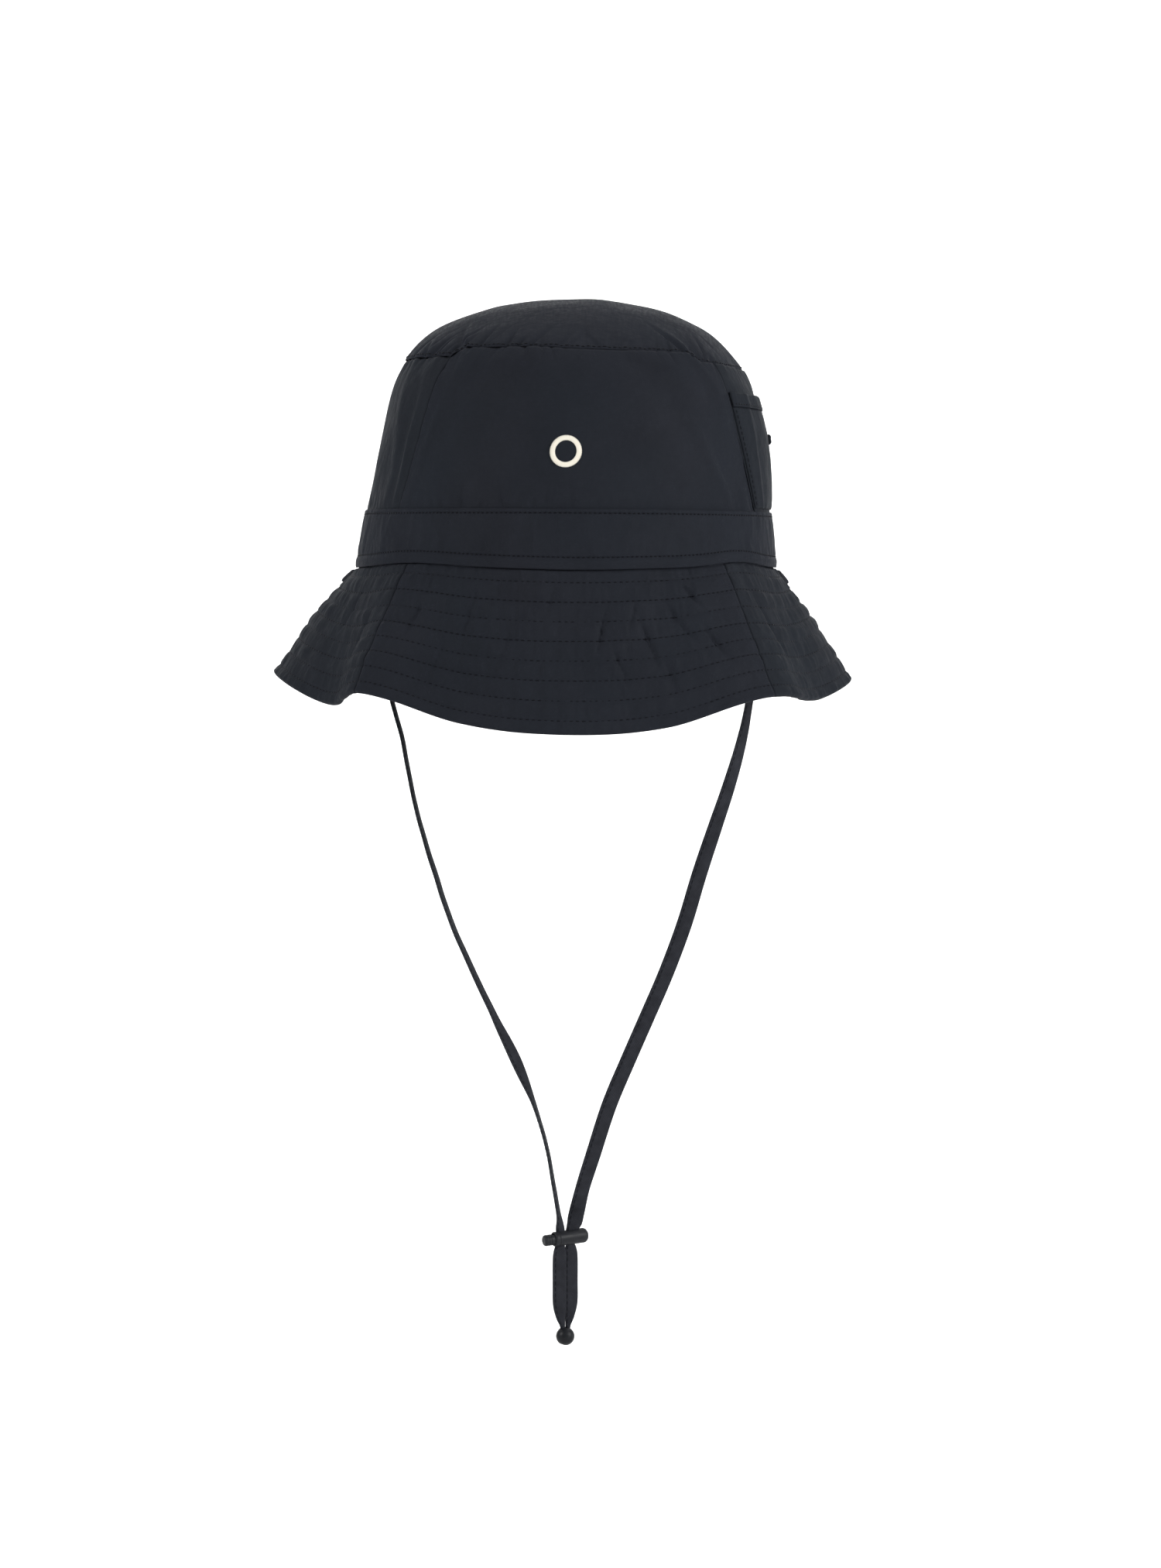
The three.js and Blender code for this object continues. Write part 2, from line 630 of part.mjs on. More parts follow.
function buildBead() {
  const [length, width] = BEAD.hole;
  const ball = new THREE.SphereGeometry(BEAD.radius, 24, 14);
  const hole = new THREE.BoxGeometry(length, width, 12).translate(THROAT.middle, 0, 0);
  const solid = toManifold(ball.translate(THROAT.middle, 0, 0)).subtract(toManifold(hole));
  const plastic = new THREE.MeshStandardMaterial({ color: COLOURS.plastic, roughness: 0.4, metalness: 0 });
  const bead = add("end_bead", fromManifold(solid), plastic);
  bead.position.set(0, 0, BEAD.z);
  bead.rotation.z = radians(TOGGLE.turn);
}

buildWallPanels();
buildTip();
buildBand();
buildLinings();
buildSweatband();
buildLabel();
buildEmblem();
buildPocket();
buildPocketTab();
buildBrimSkins();
buildInterlining();
buildStrapBack();
buildStrapRuns();
buildBarrel();
buildPlunger();
buildSpring();
buildBead();

export default hat;
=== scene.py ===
"""Bucket hat with a stitched brim, a side pocket, a chin strap and a barrel toggle.

Sizes are in millimetres in the row's frame (+Z up, the front faces -Y) and become metres when a mesh is
made. Every layer of cloth is a fine closed shell on one of three surfaces, the crown, the pocket and the
brim, pushed in and out by seams, puckers and creases. Stitches are separate threads laid on top.
"""

import math

import bpy
import numpy as np
from mathutils import Euler, Matrix, Vector


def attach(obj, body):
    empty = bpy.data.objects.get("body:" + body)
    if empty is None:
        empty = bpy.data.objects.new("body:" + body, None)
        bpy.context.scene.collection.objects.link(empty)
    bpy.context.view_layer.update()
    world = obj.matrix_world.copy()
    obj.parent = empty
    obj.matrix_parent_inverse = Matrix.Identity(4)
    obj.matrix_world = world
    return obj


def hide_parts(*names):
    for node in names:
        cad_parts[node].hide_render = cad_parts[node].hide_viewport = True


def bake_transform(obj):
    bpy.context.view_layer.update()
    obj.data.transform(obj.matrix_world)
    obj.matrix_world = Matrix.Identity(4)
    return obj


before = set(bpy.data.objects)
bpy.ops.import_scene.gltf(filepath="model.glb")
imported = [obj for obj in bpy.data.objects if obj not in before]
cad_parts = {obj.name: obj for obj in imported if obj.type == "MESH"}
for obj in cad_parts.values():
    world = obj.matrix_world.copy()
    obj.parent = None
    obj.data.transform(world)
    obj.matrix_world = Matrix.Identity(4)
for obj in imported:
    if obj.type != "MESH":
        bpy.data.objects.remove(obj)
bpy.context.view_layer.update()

# ------------------------------------------------------------------ sizes shared with the solids, in mm

CROWN_OUTLINE = np.array([
    [91.2, 0], [88.6, 20], [85.6, 40], [82.4, 58], [79.3, 74], [76, 83], [71.1, 91],
    [63, 99.4], [54.3, 105.1], [42.2, 110], [24.5, 114.2], [0, 116.8],
])
CROWN_DEPTH_RATIO = 1.07
TIP_SEAM_Z = 91
CROWN_LEAN = 4
CROWN_TILT = (-0.027, -0.019)
DOME = {"z": 104, "lean": -1.1}

# Azimuth of each upright seam of the wall, at the brim and at the tip seam, going round from the front.
WALL_PANELS = {
    "front": ((-58, -46), (70, 53)),
    "right": ((70, 53), (118, 128)),
    "back": ((118, 128), (242, 232)),
    "left": ((242, 232), (302, 314)),
}

BAND_HEIGHT = 24
POCKET_SAG = ([0, 0.1, 0.25, 0.45, 0.65, 0.8, 0.9, 1], [0, 0.3, 0.6, 0.85, 0.95, 0.65, 0.3, 0.05])
POCKET = {"bottom": 25.5, "mouth": 75, "hem": 6, "stand": 2.6}
EMBLEM = {"z": 47.5, "azimuth": -1.3, "outer": 6.6, "inner": 4.6}

BRIM_EDGE = np.array([
    [0, 13, 68.5], [24, 16, 65.5], [45, 29, 53], [68, 25, 56], [90, 34, 49.5], [112, 34, 50],
    [135, 35, 49], [160, 29, 57], [180, 27, 60], [200, 29, 57], [225, 35, 49], [248, 34, 50],
    [270, 37, 46], [297, 23, 57.5], [315, 29, 51.5], [336, 16, 64],
])
BRIM_TOP_Z = -0.5
BRIM_BULGE = (1.75, -0.6)
BRIM_THICKNESS = 2.6
BRIM_ROWS = 8

STRAP_WIDTH = 7
SLOT = {"azimuths": (90, 270), "near": 1.4, "far": 9.6, "width": 2.4}

# Route of the strap from each slot to the toggle: x, z, and the turn of its width from the X axis.
STRAP_RIGHT = [
    [88.5, -10, 10], [87.2, -13.5, 25], [86.2, -18, 45], [84.2, -34, 62], [81.8, -50, 62],
    [79.4, -64, 58], [76.6, -78, 46], [71.9, -94.5, 32], [65.1, -115, 20], [58.5, -135, 12],
    [52.2, -156, 8], [44.9, -176, 8], [36.4, -196, 8], [27.2, -217, 8], [18.9, -237, 10],
    [12.1, -258, 14], [7.1, -274, 20],
]
STRAP_LEFT = [
    [-88.5, -10, 10], [-87, -13.5, 32], [-85.4, -18, 58], [-82, -34, 76], [-78.4, -50, 79],
    [-75, -64, 80], [-71.8, -76, 80], [-68.3, -94.5, 80], [-63.5, -115, 79], [-57.5, -135, 76],
    [-50.5, -156, 76], [-41.9, -176, 73], [-32.4, -196, 68], [-22.2, -217, 48], [-14, -237, 78],
    [-8.8, -255, 82], [-5.6, -272, 80],
]
TOGGLE = {"z": -295.6, "turn": 27, "tilt": 3.5, "length": 16.4, "radius": 3.3, "bore": 2.75, "start": -6.2}
PLUNGER = {"radius": 2.5, "reach": 5, "end": 5.3}
THROAT = {"length": 10, "width": 2.3, "middle": -0.5}
SPRING = {"radius": 1.9, "wire": 0.25, "turns": 2.5}
BEAD = {"z": -339.3, "radius": 4.1, "hole": (5.6, 2.3)}

# ------------------------------------------------------------------ numbers and noise


def smooth(value, low, high):
    """0 below low, 1 above high, and a soft step between."""
    t = np.clip((value - low) / (high - low), 0, 1)
    return t * t * (3 - 2 * t)


def bump(distance, width):
    return np.exp(-((distance / width) ** 2))


def noise(x, y, seed, period=None):
    """Smooth noise from -1 to 1 on a unit grid; period closes it round x."""
    table = np.random.default_rng(seed).uniform(-1, 1, (256, 256))
    xi, yi = np.floor(x).astype(int), np.floor(y).astype(int)
    xf, yf = x - xi, y - yi
    xf, yf = xf * xf * (3 - 2 * xf), yf * yf * (3 - 2 * yf)
    wrap = period or 256
    a, b = xi % wrap, (xi + 1) % wrap
    c, d = yi % 256, (yi + 1) % 256
    low = table[a, c] * (1 - xf) + table[b, c] * xf
    high = table[a, d] * (1 - xf) + table[b, d] * xf
    return low * (1 - yf) + high * yf


def pleats(along, pitch, seed, lane=0.0, period=None):
    """Uneven creases that run across a seam: rounded ridges with sharp valleys between them."""
    wave = noise(along / pitch, lane + 0 * along, seed, period)
    return 0.5 - np.sqrt(np.abs(wave))


def periodic(rows, azimuth, column):
    """A closed smooth curve through rows of azimuth and values."""
    count = len(rows)
    at = np.mod(azimuth, 360)
    i = np.searchsorted(rows[:, 0], at, side="right") - 1

    def row(k):
        turns = k // count
        return rows[k - turns * count, 0] + 360 * turns, rows[k - turns * count, column]

    (a0, a), (b0, b), (c0, c), (d0, d) = row(i - 1), row(i), row(i + 1), row(i + 2)
    span = c0 - b0
    start, end = (c - a) / (c0 - a0) * span, (d - b) / (d0 - b0) * span
    t = (at - b0) / span
    return ((2 * t**3 - 3 * t**2 + 1) * b + (t**3 - 2 * t**2 + t) * start
            + (3 * t**2 - 2 * t**3) * c + (t**3 - t**2) * end)


def catmull_rom(points, per_span):
    """Points along the smooth curve that passes through the given ones."""
    padded = np.vstack([points[:1], points, points[-1:]])
    t = np.linspace(0, 1, per_span, endpoint=False)[:, None]
    spans = []
    for p0, p1, p2, p3 in zip(padded, padded[1:], padded[2:], padded[3:]):
        v0, v1 = (p2 - p0) / 2, (p3 - p1) / 2
        spans.append((2 * p1 - 2 * p2 + v0 + v1) * t**3 + (-3 * p1 + 3 * p2 - 2 * v0 - v1) * t**2 + v0 * t + p1)
    return np.vstack([*spans, points[-1:]])


def lengths(points):
    """Distance along a line of points, from its first."""
    return np.concatenate([[0], np.cumsum(np.linalg.norm(np.diff(points, axis=0), axis=1))])


def resample(points, distances):
    at = lengths(points)
    return np.stack([np.interp(distances, at, points[:, k]) for k in range(points.shape[1])], axis=1)


def unit(vectors):
    return vectors / np.linalg.norm(vectors, axis=-1, keepdims=True)


# ------------------------------------------------------------------ the three surfaces

outline = catmull_rom(CROWN_OUTLINE, 60)
outline_length = lengths(outline)[-1]
outline_share = lengths(outline) / outline_length
TIP_SHARE = np.interp(TIP_SEAM_Z, outline[:, 1], outline_share)


def share_at(z):
    return np.interp(z, outline[:, 1], outline_share)


def outward(azimuth):
    a = np.radians(azimuth)
    return unit(np.stack([np.sin(a) * CROWN_DEPTH_RATIO, -np.cos(a), 0 * a], axis=-1))


def crown(azimuth, share):
    """Points and outward directions of the crown's surface, for arrays of azimuth and outline share."""
    azimuth, share = np.broadcast_arrays(np.asarray(azimuth, float), np.asarray(share, float))
    a = np.radians(azimuth)
    radius = np.interp(share, outline_share, outline[:, 0])
    height = np.interp(share, outline_share, outline[:, 1])
    ahead, behind = np.minimum(share + 0.004, 1), np.maximum(np.minimum(share, 0.998) - 0.004, 0)
    rise = np.interp(ahead, outline_share, outline[:, 1]) - np.interp(behind, outline_share, outline[:, 1])
    inward = np.interp(behind, outline_share, outline[:, 0]) - np.interp(ahead, outline_share, outline[:, 0])
    normal = outward(azimuth) * rise[..., None]
    normal[..., 2] = inward
    x = radius * np.sin(a)
    y = -radius * CROWN_DEPTH_RATIO * np.cos(a)
    raised = np.minimum(height / TIP_SEAM_Z, 1)
    domed = smooth(height, TIP_SEAM_Z, DOME["z"])
    z = height + raised * (1 - domed) * (CROWN_TILT[0] * x + CROWN_TILT[1] * y)
    return np.stack([x + CROWN_LEAN * raised + DOME["lean"] * domed, y, z], axis=-1), unit(normal)


def brim(azimuth, share):
    """Points and outward directions of the brim's upper surface."""
    azimuth, share = np.broadcast_arrays(np.asarray(azimuth, float), np.asarray(share, float))
    a = np.radians(azimuth)
    radius = CROWN_OUTLINE[0, 0]
    run, drop = periodic(BRIM_EDGE, azimuth, 1), periodic(BRIM_EDGE, azimuth, 2)
    away = outward(azimuth)
    normal = away * drop[..., None]
    normal[..., 2] = run
    seam = np.stack([radius * np.sin(a), -radius * CROWN_DEPTH_RATIO * np.cos(a), 0 * a + BRIM_TOP_Z], axis=-1)
    point = seam + away * (run * share)[..., None]
    point[..., 2] -= drop * share
    normal = unit(normal)
    bulge = np.sin(a) ** 2 * (BRIM_BULGE[0] + BRIM_BULGE[1] * np.sin(a)) * np.sin(np.pi * share)
    return point + normal * bulge[..., None], normal


def brim_width(azimuth):
    return np.hypot(periodic(BRIM_EDGE, azimuth, 1), periodic(BRIM_EDGE, azimuth, 2))


def pocket(u, z):
    """Points and outward directions of the pocket's inner face: it sags away from the wall below its mouth."""
    share = share_at(z)
    (front0, front1), (back0, back1) = WALL_PANELS["right"]
    start = front0 + (front1 - front0) * share / TIP_SHARE + 0.2
    end = back0 + (back1 - back0) * share / TIP_SHARE - 1
    point, normal = crown(start + (end - start) * u, share)
    up = (z - POCKET["bottom"]) / (POCKET["mouth"] - POCKET["bottom"])
    open_u = np.clip(np.sin(np.pi * u), 0, 1) ** 0.6
    open_z = np.interp(up, *POCKET_SAG)
    return point + normal * (0.4 + POCKET["stand"] * open_u * open_z)[..., None], normal


def degrees_of(length, azimuth):
    """The angle that a length round the crown's base takes, in degrees."""
    a = math.radians(azimuth)
    return math.degrees(length / (CROWN_OUTLINE[0, 0] * math.hypot(math.cos(a), CROWN_DEPTH_RATIO * math.sin(a))))


# ------------------------------------------------------------------ mesh building


def make_piece(name, vertices, faces, uvs=None, material=None, soft=True):
    """A mesh object from vertices in mm. Faces are an array of quads, or a list where their sizes differ."""
    mesh = bpy.data.meshes.new(name)
    mesh.from_pydata((vertices * 0.001).tolist(), [], [list(f) for f in np.asarray(faces).tolist()]
                     if isinstance(faces, np.ndarray) else faces)
    if uvs is not None:
        layer = mesh.uv_layers.new(name="UVMap")
        corners = np.empty(len(mesh.loops), int)
        mesh.loops.foreach_get("vertex_index", corners)
        layer.data.foreach_set("uv", (uvs[corners] * 0.001).astype(np.float32).ravel())
    if soft:
        mesh.shade_smooth()
    piece = bpy.data.objects.new(name, mesh)
    bpy.context.scene.collection.objects.link(piece)
    if material:
        mesh.materials.append(material)
    return piece


def facing_out(vertices, quads):
    """The quads, turned over if they enclose a negative volume."""
    a, b, c, d = (vertices[quads[:, k]] for k in range(4))
    volume = np.einsum("ij,ij->i", a, np.cross(b, c)).sum() + np.einsum("ij,ij->i", a, np.cross(c, d)).sum()
    return quads if volume > 0 else quads[:, ::-1]


def shell(name, outer, inner, uv, material, wrap=False, present=None):
    """A closed shell between two grids of points. present says which cells exist; walls close its edges."""
    nu, nv = outer.shape[:2]
    columns = nu if wrap else nu - 1
    if present is None:
        present = np.ones((columns, nv - 1), bool)
    index = np.arange(nu * nv).reshape(nu, nv)
    index = np.vstack([index, index[:1]]) if wrap else index
    below = index + nu * nv
    i, j = np.nonzero(present)
    quads = [
        np.stack([index[i, j], index[i, j + 1], index[i + 1, j + 1], index[i + 1, j]], axis=1),
        np.stack([below[i, j], below[i + 1, j], below[i + 1, j + 1], below[i, j + 1]], axis=1),
    ]
    padded = np.zeros((columns + 2, nv + 1), bool)
    padded[1:-1, 1:-1] = present
    if wrap:
        padded[0, 1:-1], padded[-1, 1:-1] = present[-1], present[0]
    for di, dj, (p, q) in ((0, -1, ((0, 0), (1, 0))), (0, 1, ((1, 1), (0, 1))),
                           (-1, 0, ((0, 1), (0, 0))), (1, 0, ((1, 0), (1, 1)))):
        i, j = np.nonzero(present & ~padded[1 + di:columns + 1 + di, 1 + dj:nv + dj])
        a, b = (i + p[0], j + p[1]), (i + q[0], j + q[1])
        quads.append(np.stack([index[a], index[b], below[b], below[a]], axis=1))
    vertices = np.vstack([outer.reshape(-1, 3), inner.reshape(-1, 3)])
    quads = facing_out(vertices, np.vstack(quads))
    used = np.unique(quads)
    renumber = np.zeros(len(vertices), int)
    renumber[used] = np.arange(len(used))
    uvs = np.vstack([uv.reshape(-1, 2)] * 2)[used]
    return make_piece(name, vertices[used], renumber[quads], uvs, material)


def drum(closed_ends):
    """Faces of a tube of rings, and its end caps; closed_ends is (rings, sides)."""
    rings, sides = closed_ends
    index = np.arange(rings * sides).reshape(rings, sides)
    around = np.roll(index, -1, axis=1)
    quads = np.stack([index[:-1], around[:-1], around[1:], index[1:]], axis=-1).reshape(-1, 4)
    return quads.tolist() + [index[0][::-1].tolist(), index[-1].tolist()]


# One stitch: a short plump thread, longer than it is wide, whose ends dip into the cloth.
STITCH_RINGS = np.array([[-0.5, 0.35, -0.9], [-0.38, 0.85, -0.25], [0, 1, 0], [0.38, 0.85, -0.25], [0.5, 0.35, -0.9]])
STITCH_SIDES = 8


def stitches(name, middles, along, up, size, material):
    """Threads at middles, lying along one direction and standing up from the cloth; size is length and radius."""
    length, radius = size
    angle = np.linspace(0, 2 * np.pi, STITCH_SIDES, endpoint=False)
    along = unit(along)
    up = unit(up - along * np.sum(up * along, axis=1, keepdims=True))
    side = np.cross(along, up)
    rings = []
    for x, r, dip in STITCH_RINGS:
        centre = middles + along * (x * length) + up * (dip * radius)
        for a in angle:
            rings.append(centre + side * (math.cos(a) * r * radius) + up * (math.sin(a) * r * radius * 0.8))
    points = np.stack(rings, axis=1)
    count, size_of_one = points.shape[:2]
    one = drum((len(STITCH_RINGS), STITCH_SIDES))
    quads = np.array([f for f in one if len(f) == 4])
    caps = [f for f in one if len(f) != 4]
    shift = (np.arange(count) * size_of_one)[:, None, None]
    faces = (quads[None] + shift).reshape(-1, 4).tolist()
    for cap in caps:
        faces += (np.array(cap)[None] + shift[:, 0]).tolist()
    uvs = np.zeros((count * size_of_one, 2))
    uvs[:, 0] = np.tile(np.repeat(STITCH_RINGS[:, 0] * length, STITCH_SIDES), count)
    uvs[:, 1] = np.tile(np.tile(angle * radius, len(STITCH_RINGS)), count)
    return make_piece(name, points.reshape(-1, 3), faces, uvs, material)


def row_of_stitches(points, normals, pitch, length, lift):
    """Middles, directions and normals of stitches evenly spaced along a line of points on the cloth."""
    total = lengths(points)[-1]
    count = max(int(total / pitch), 1)
    centre = (np.arange(count) + 0.5) * total / count
    at = lengths(points)
    normal = unit(np.stack([np.interp(centre, at, normals[:, k]) for k in range(3)], axis=1))
    middle = resample(points, centre) + normal * lift
    ahead, behind = resample(points, centre + length / 2), resample(points, centre - length / 2)
    return middle, ahead - behind, normal


def gather_rows(rows):
    return [np.vstack(parts) for parts in zip(*rows)]


# ------------------------------------------------------------------ materials


class Shading:
    """A new node material, with short calls for the nodes that the materials share."""

    def __init__(self, name, roughness, **settings):
        self.material = bpy.data.materials.new(name)
        self.material.use_nodes = True
        self.nodes, self.links = self.material.node_tree.nodes, self.material.node_tree.links
        self.shader = self.nodes["Principled BSDF"]
        self.shader.inputs["Roughness"].default_value = roughness
        for socket, value in settings.items():
            self.shader.inputs[socket.replace("_", " ")].default_value = value
        self.coordinates = self.nodes.new("ShaderNodeTexCoord")

    def link(self, source, target):
        self.links.new(source, target)

    def noise(self, scale, detail=2.0, space="Object", roughness=0.5, stretch=None):
        node = self.nodes.new("ShaderNodeTexNoise")
        node.inputs["Scale"].default_value = scale
        node.inputs["Detail"].default_value = detail
        node.inputs["Roughness"].default_value = roughness
        source = self.coordinates.outputs[space]
        if stretch:
            mapping = self.nodes.new("ShaderNodeMapping")
            mapping.inputs["Scale"].default_value = stretch
            self.link(source, mapping.inputs["Vector"])
            source = mapping.outputs["Vector"]
        self.link(source, node.inputs["Vector"])
        return node.outputs["Fac"]

    def threads(self, pitch, direction, turn=0.0):
        """Bands of the given pitch in metres, across the mesh's unwrapped length or width."""
        node = self.nodes.new("ShaderNodeTexWave")
        node.bands_direction = direction
        node.inputs["Scale"].default_value = 0.314 / pitch
        mapping = self.nodes.new("ShaderNodeMapping")
        mapping.inputs["Rotation"].default_value = (0, 0, math.radians(turn))
        self.link(self.coordinates.outputs["UV"], mapping.inputs["Vector"])
        self.link(mapping.outputs["Vector"], node.inputs["Vector"])
        return node.outputs["Fac"]

    def math(self, operation, a, b):
        node = self.nodes.new("ShaderNodeMath")
        node.operation = operation
        for socket, value in zip(node.inputs, (a, b)):
            if isinstance(value, (int, float)):
                socket.default_value = value
            else:
                self.link(value, socket)
        return node.outputs[0]

    def ramp(self, factor, stops):
        """Colours or greys by a factor; stops are pairs of position and value."""
        node = self.nodes.new("ShaderNodeValToRGB")
        elements = node.color_ramp.elements
        while len(elements) < len(stops):
            elements.new(0.5)
        for element, (position, value) in zip(elements, stops):
            element.position = position
            element.color = (*value, 1) if hasattr(value, "__len__") else (value, value, value, 1)
        self.link(factor, node.inputs["Fac"])
        return node.outputs["Color"]

    def mix(self, factor, a, b, blend="MIX"):
        node = self.nodes.new("ShaderNodeMix")
        node.data_type = "RGBA"
        node.blend_type = blend
        for socket, value in ((node.inputs["Factor"], factor), (node.inputs["A"], a), (node.inputs["B"], b)):
            if isinstance(value, (int, float)):
                socket.default_value = value
            elif hasattr(value, "__len__"):
                socket.default_value = (*value, 1)
            else:
                self.link(value, socket)
        return node.outputs["Result"]

    def bump(self, *layers):
        """Heights as (source, strength, distance in metres), each on top of the last."""
        normal = None
        for height, strength, distance in layers:
            node = self.nodes.new("ShaderNodeBump")
            node.inputs["Strength"].default_value = strength
            node.inputs["Distance"].default_value = distance
            self.link(height, node.inputs["Height"])
            if normal:
                self.link(normal, node.inputs["Normal"])
            normal = node.outputs["Normal"]
        self.link(normal, self.shader.inputs["Normal"])

    def color(self, source):
        self.link(source, self.shader.inputs["Base Color"])

    def roughness(self, source):
        self.link(source, self.shader.inputs["Roughness"])


def tinted(color, factor):
    return tuple(min(channel * factor, 1) for channel in color)


def cloth_material(name, color, pitch, crinkle, roughness, sheen):
    """Plain weave with soft mottling, small crinkles and a dry sheen."""
    cloth = Shading(name, roughness, Sheen_Weight=sheen, Sheen_Roughness=0.45, Specular_IOR_Level=0.006)
    warp, weft = cloth.threads(pitch, "X"), cloth.threads(pitch, "Y")
    weave = cloth.math("MULTIPLY", warp, weft)
    mottle = cloth.noise(55, 3)
    fibre = cloth.noise(900, 2, "UV", stretch=(1, 0.15, 1))
    base = cloth.ramp(mottle, [(0.3, tinted(color, 0.9)), (0.7, tinted(color, 1.12))])
    cool = cloth.mix(cloth.noise(24, 1), base, (color[0] * 0.92, color[1] * 1.03, color[2] * 1.04))
    cloth.color(cloth.mix(0.3, cool, cloth.ramp(weave, [(0.1, 0.55), (0.8, 1.0)]), "MULTIPLY"))
    cloth.roughness(cloth.ramp(fibre, [(0.3, roughness - 0.06), (0.7, roughness + 0.08)]))
    cloth.bump(
        (cloth.noise(140, 3), crinkle, 0.0012),
        (cloth.noise(420, 2, stretch=(1, 1, 0.45)), crinkle, 0.0004),
        (weave, 0.35, 0.00006),
    )
    return cloth.material


def knit_material(name, color):
    """Brushed knit: fine upright ribs under a fuzzy nap."""
    knit = Shading(name, 0.9, Sheen_Weight=0.08, Sheen_Roughness=0.6, Specular_IOR_Level=0.2)
    ribs = knit.threads(0.0009, "X")
    nap = knit.noise(1500, 2)
    knit.color(knit.mix(ribs, tinted(color, 0.75), tinted(color, 1.15)))
    knit.bump((ribs, 0.5, 0.0002), (nap, 0.4, 0.0001))
    return knit.material


def thread_material(name, color, roughness=0.55):
    """Two-ply sewing thread, with its twist."""
    thread = Shading(name, roughness, Sheen_Weight=0.01, Sheen_Roughness=0.3, Specular_IOR_Level=0.05)
    twist = thread.threads(0.0004, "X", 35)
    thread.color(thread.mix(twist, tinted(color, 0.7), tinted(color, 1.1)))
    thread.bump((twist, 0.6, 0.00008), (thread.noise(3000, 1), 0.3, 0.00004))
    return thread.material


def webbing_material(name, color):
    """Folded woven strap: a fine diagonal twill, slightly fuzzy at its edges."""
    strap = Shading(name, 0.72, Sheen_Weight=0.006, Sheen_Roughness=0.4, Specular_IOR_Level=0.03)
    twill = strap.threads(0.00075, "X", 55)
    mottle = strap.noise(220, 2)
    base = strap.ramp(mottle, [(0.3, tinted(color, 0.85)), (0.7, tinted(color, 1.2))])
    strap.color(strap.mix(0.35, base, strap.ramp(twill, [(0.2, 0.5), (0.8, 1.0)]), "MULTIPLY"))
    strap.bump((mottle, 0.4, 0.0004), (twill, 0.5, 0.0001), (strap.noise(2500, 1), 0.25, 0.00005))
    return strap.material


def plastic_material(name, color, roughness):
    """Moulded plastic with a fine spark-eroded grain and handled patches."""
    plastic = Shading(name, roughness, Specular_IOR_Level=0.12)
    grain, wear = plastic.noise(2600, 2), plastic.noise(300, 3)
    plastic.color(plastic.ramp(wear, [(0.35, tinted(color, 0.88)), (0.7, tinted(color, 1.15))]))
    plastic.roughness(plastic.ramp(wear, [(0.3, roughness - 0.08), (0.7, roughness + 0.1)]))
    plastic.bump((grain, 0.25, 0.00006), (plastic.noise(500, 1), 0.1, 0.0002))
    return plastic.material


def felt_material(name, color):
    """Pressed nonwoven fibres."""
    felt = Shading(name, 0.95, Sheen_Weight=0.2)
    fibres = felt.noise(1400, 3, roughness=0.7)
    felt.color(felt.ramp(fibres, [(0.3, tinted(color, 0.8)), (0.7, tinted(color, 1.25))]))
    felt.bump((fibres, 0.6, 0.0002))
    return felt.material


def satin_material(name, color):
    """Woven satin ribbon of a blank label."""
    satin = Shading(name, 0.42, Sheen_Weight=0.3, Sheen_Roughness=0.3)
    floats = satin.threads(0.00035, "Y")
    satin.color(satin.mix(floats, tinted(color, 0.88), tinted(color, 1.04)))
    satin.bump((floats, 0.3, 0.00005), (satin.noise(90, 2), 0.5, 0.0008))
    return satin.material


def steel_material(name, color):
    """Drawn spring wire."""
    steel = Shading(name, 0.28, Metallic=1.0)
    draw = steel.noise(800, 2, stretch=(1, 0.1, 1))
    steel.color(steel.ramp(draw, [(0.3, tinted(color, 0.85)), (0.7, tinted(color, 1.1))]))
    steel.roughness(steel.ramp(draw, [(0.3, 0.22), (0.7, 0.38)]))
    return steel.material


# The side colour is a slightly shifted copy of the shell colour, used for the side panels and their cloth: a painted
# sheen that stands in for the different way their weave catches the light.
SHELL_COLOR = (0.0150, 0.0158, 0.0201)
SIDE_SHEEN_COLOR = (0.0150, 0.0160, 0.0197)
shell_cloth = cloth_material("shell_cloth", SHELL_COLOR, 0.00042, 0.45, 0.5, 0.001)
side_cloth = cloth_material("side_cloth", SIDE_SHEEN_COLOR, 0.00042, 0.45, 0.5, 0.001)
lining_cloth = cloth_material("lining_cloth", (0.016, 0.018, 0.022), 0.00036, 0.25, 0.74, 0.05)
sweatband_knit = knit_material("sweatband_knit", (0.012, 0.013, 0.016))
strap_webbing = webbing_material("strap_webbing", (0.020, 0.021, 0.0255))
# The thread is darker than the cloth partly as painted shade: its dark tone stands in for the shade in the stitch
# holes along each row.
dark_thread = thread_material("dark_thread", (0.0035, 0.004, 0.006))
cream_thread = thread_material("cream_thread", (0.80, 0.76, 0.66), 0.5)
black_plastic = plastic_material("black_plastic", (0.014, 0.0148, 0.0172), 0.45)
bead_plastic = plastic_material("bead_plastic", (0.009, 0.0098, 0.0116), 0.42)
stiffener_felt = felt_material("stiffener_felt", (0.05, 0.05, 0.052))
label_satin = satin_material("label_satin", (0.62, 0.61, 0.57))
spring_steel = steel_material("spring_steel", (0.62, 0.62, 0.63))


# ------------------------------------------------------------------ camera, floor and light

CAMERA_DISTANCE = 1.95
CAMERA_ELEVATION = 3
CAMERA_TARGET = (0.0063, 0, -0.0952)
PICTURE_HEIGHT = 0.688
SENSOR = 36


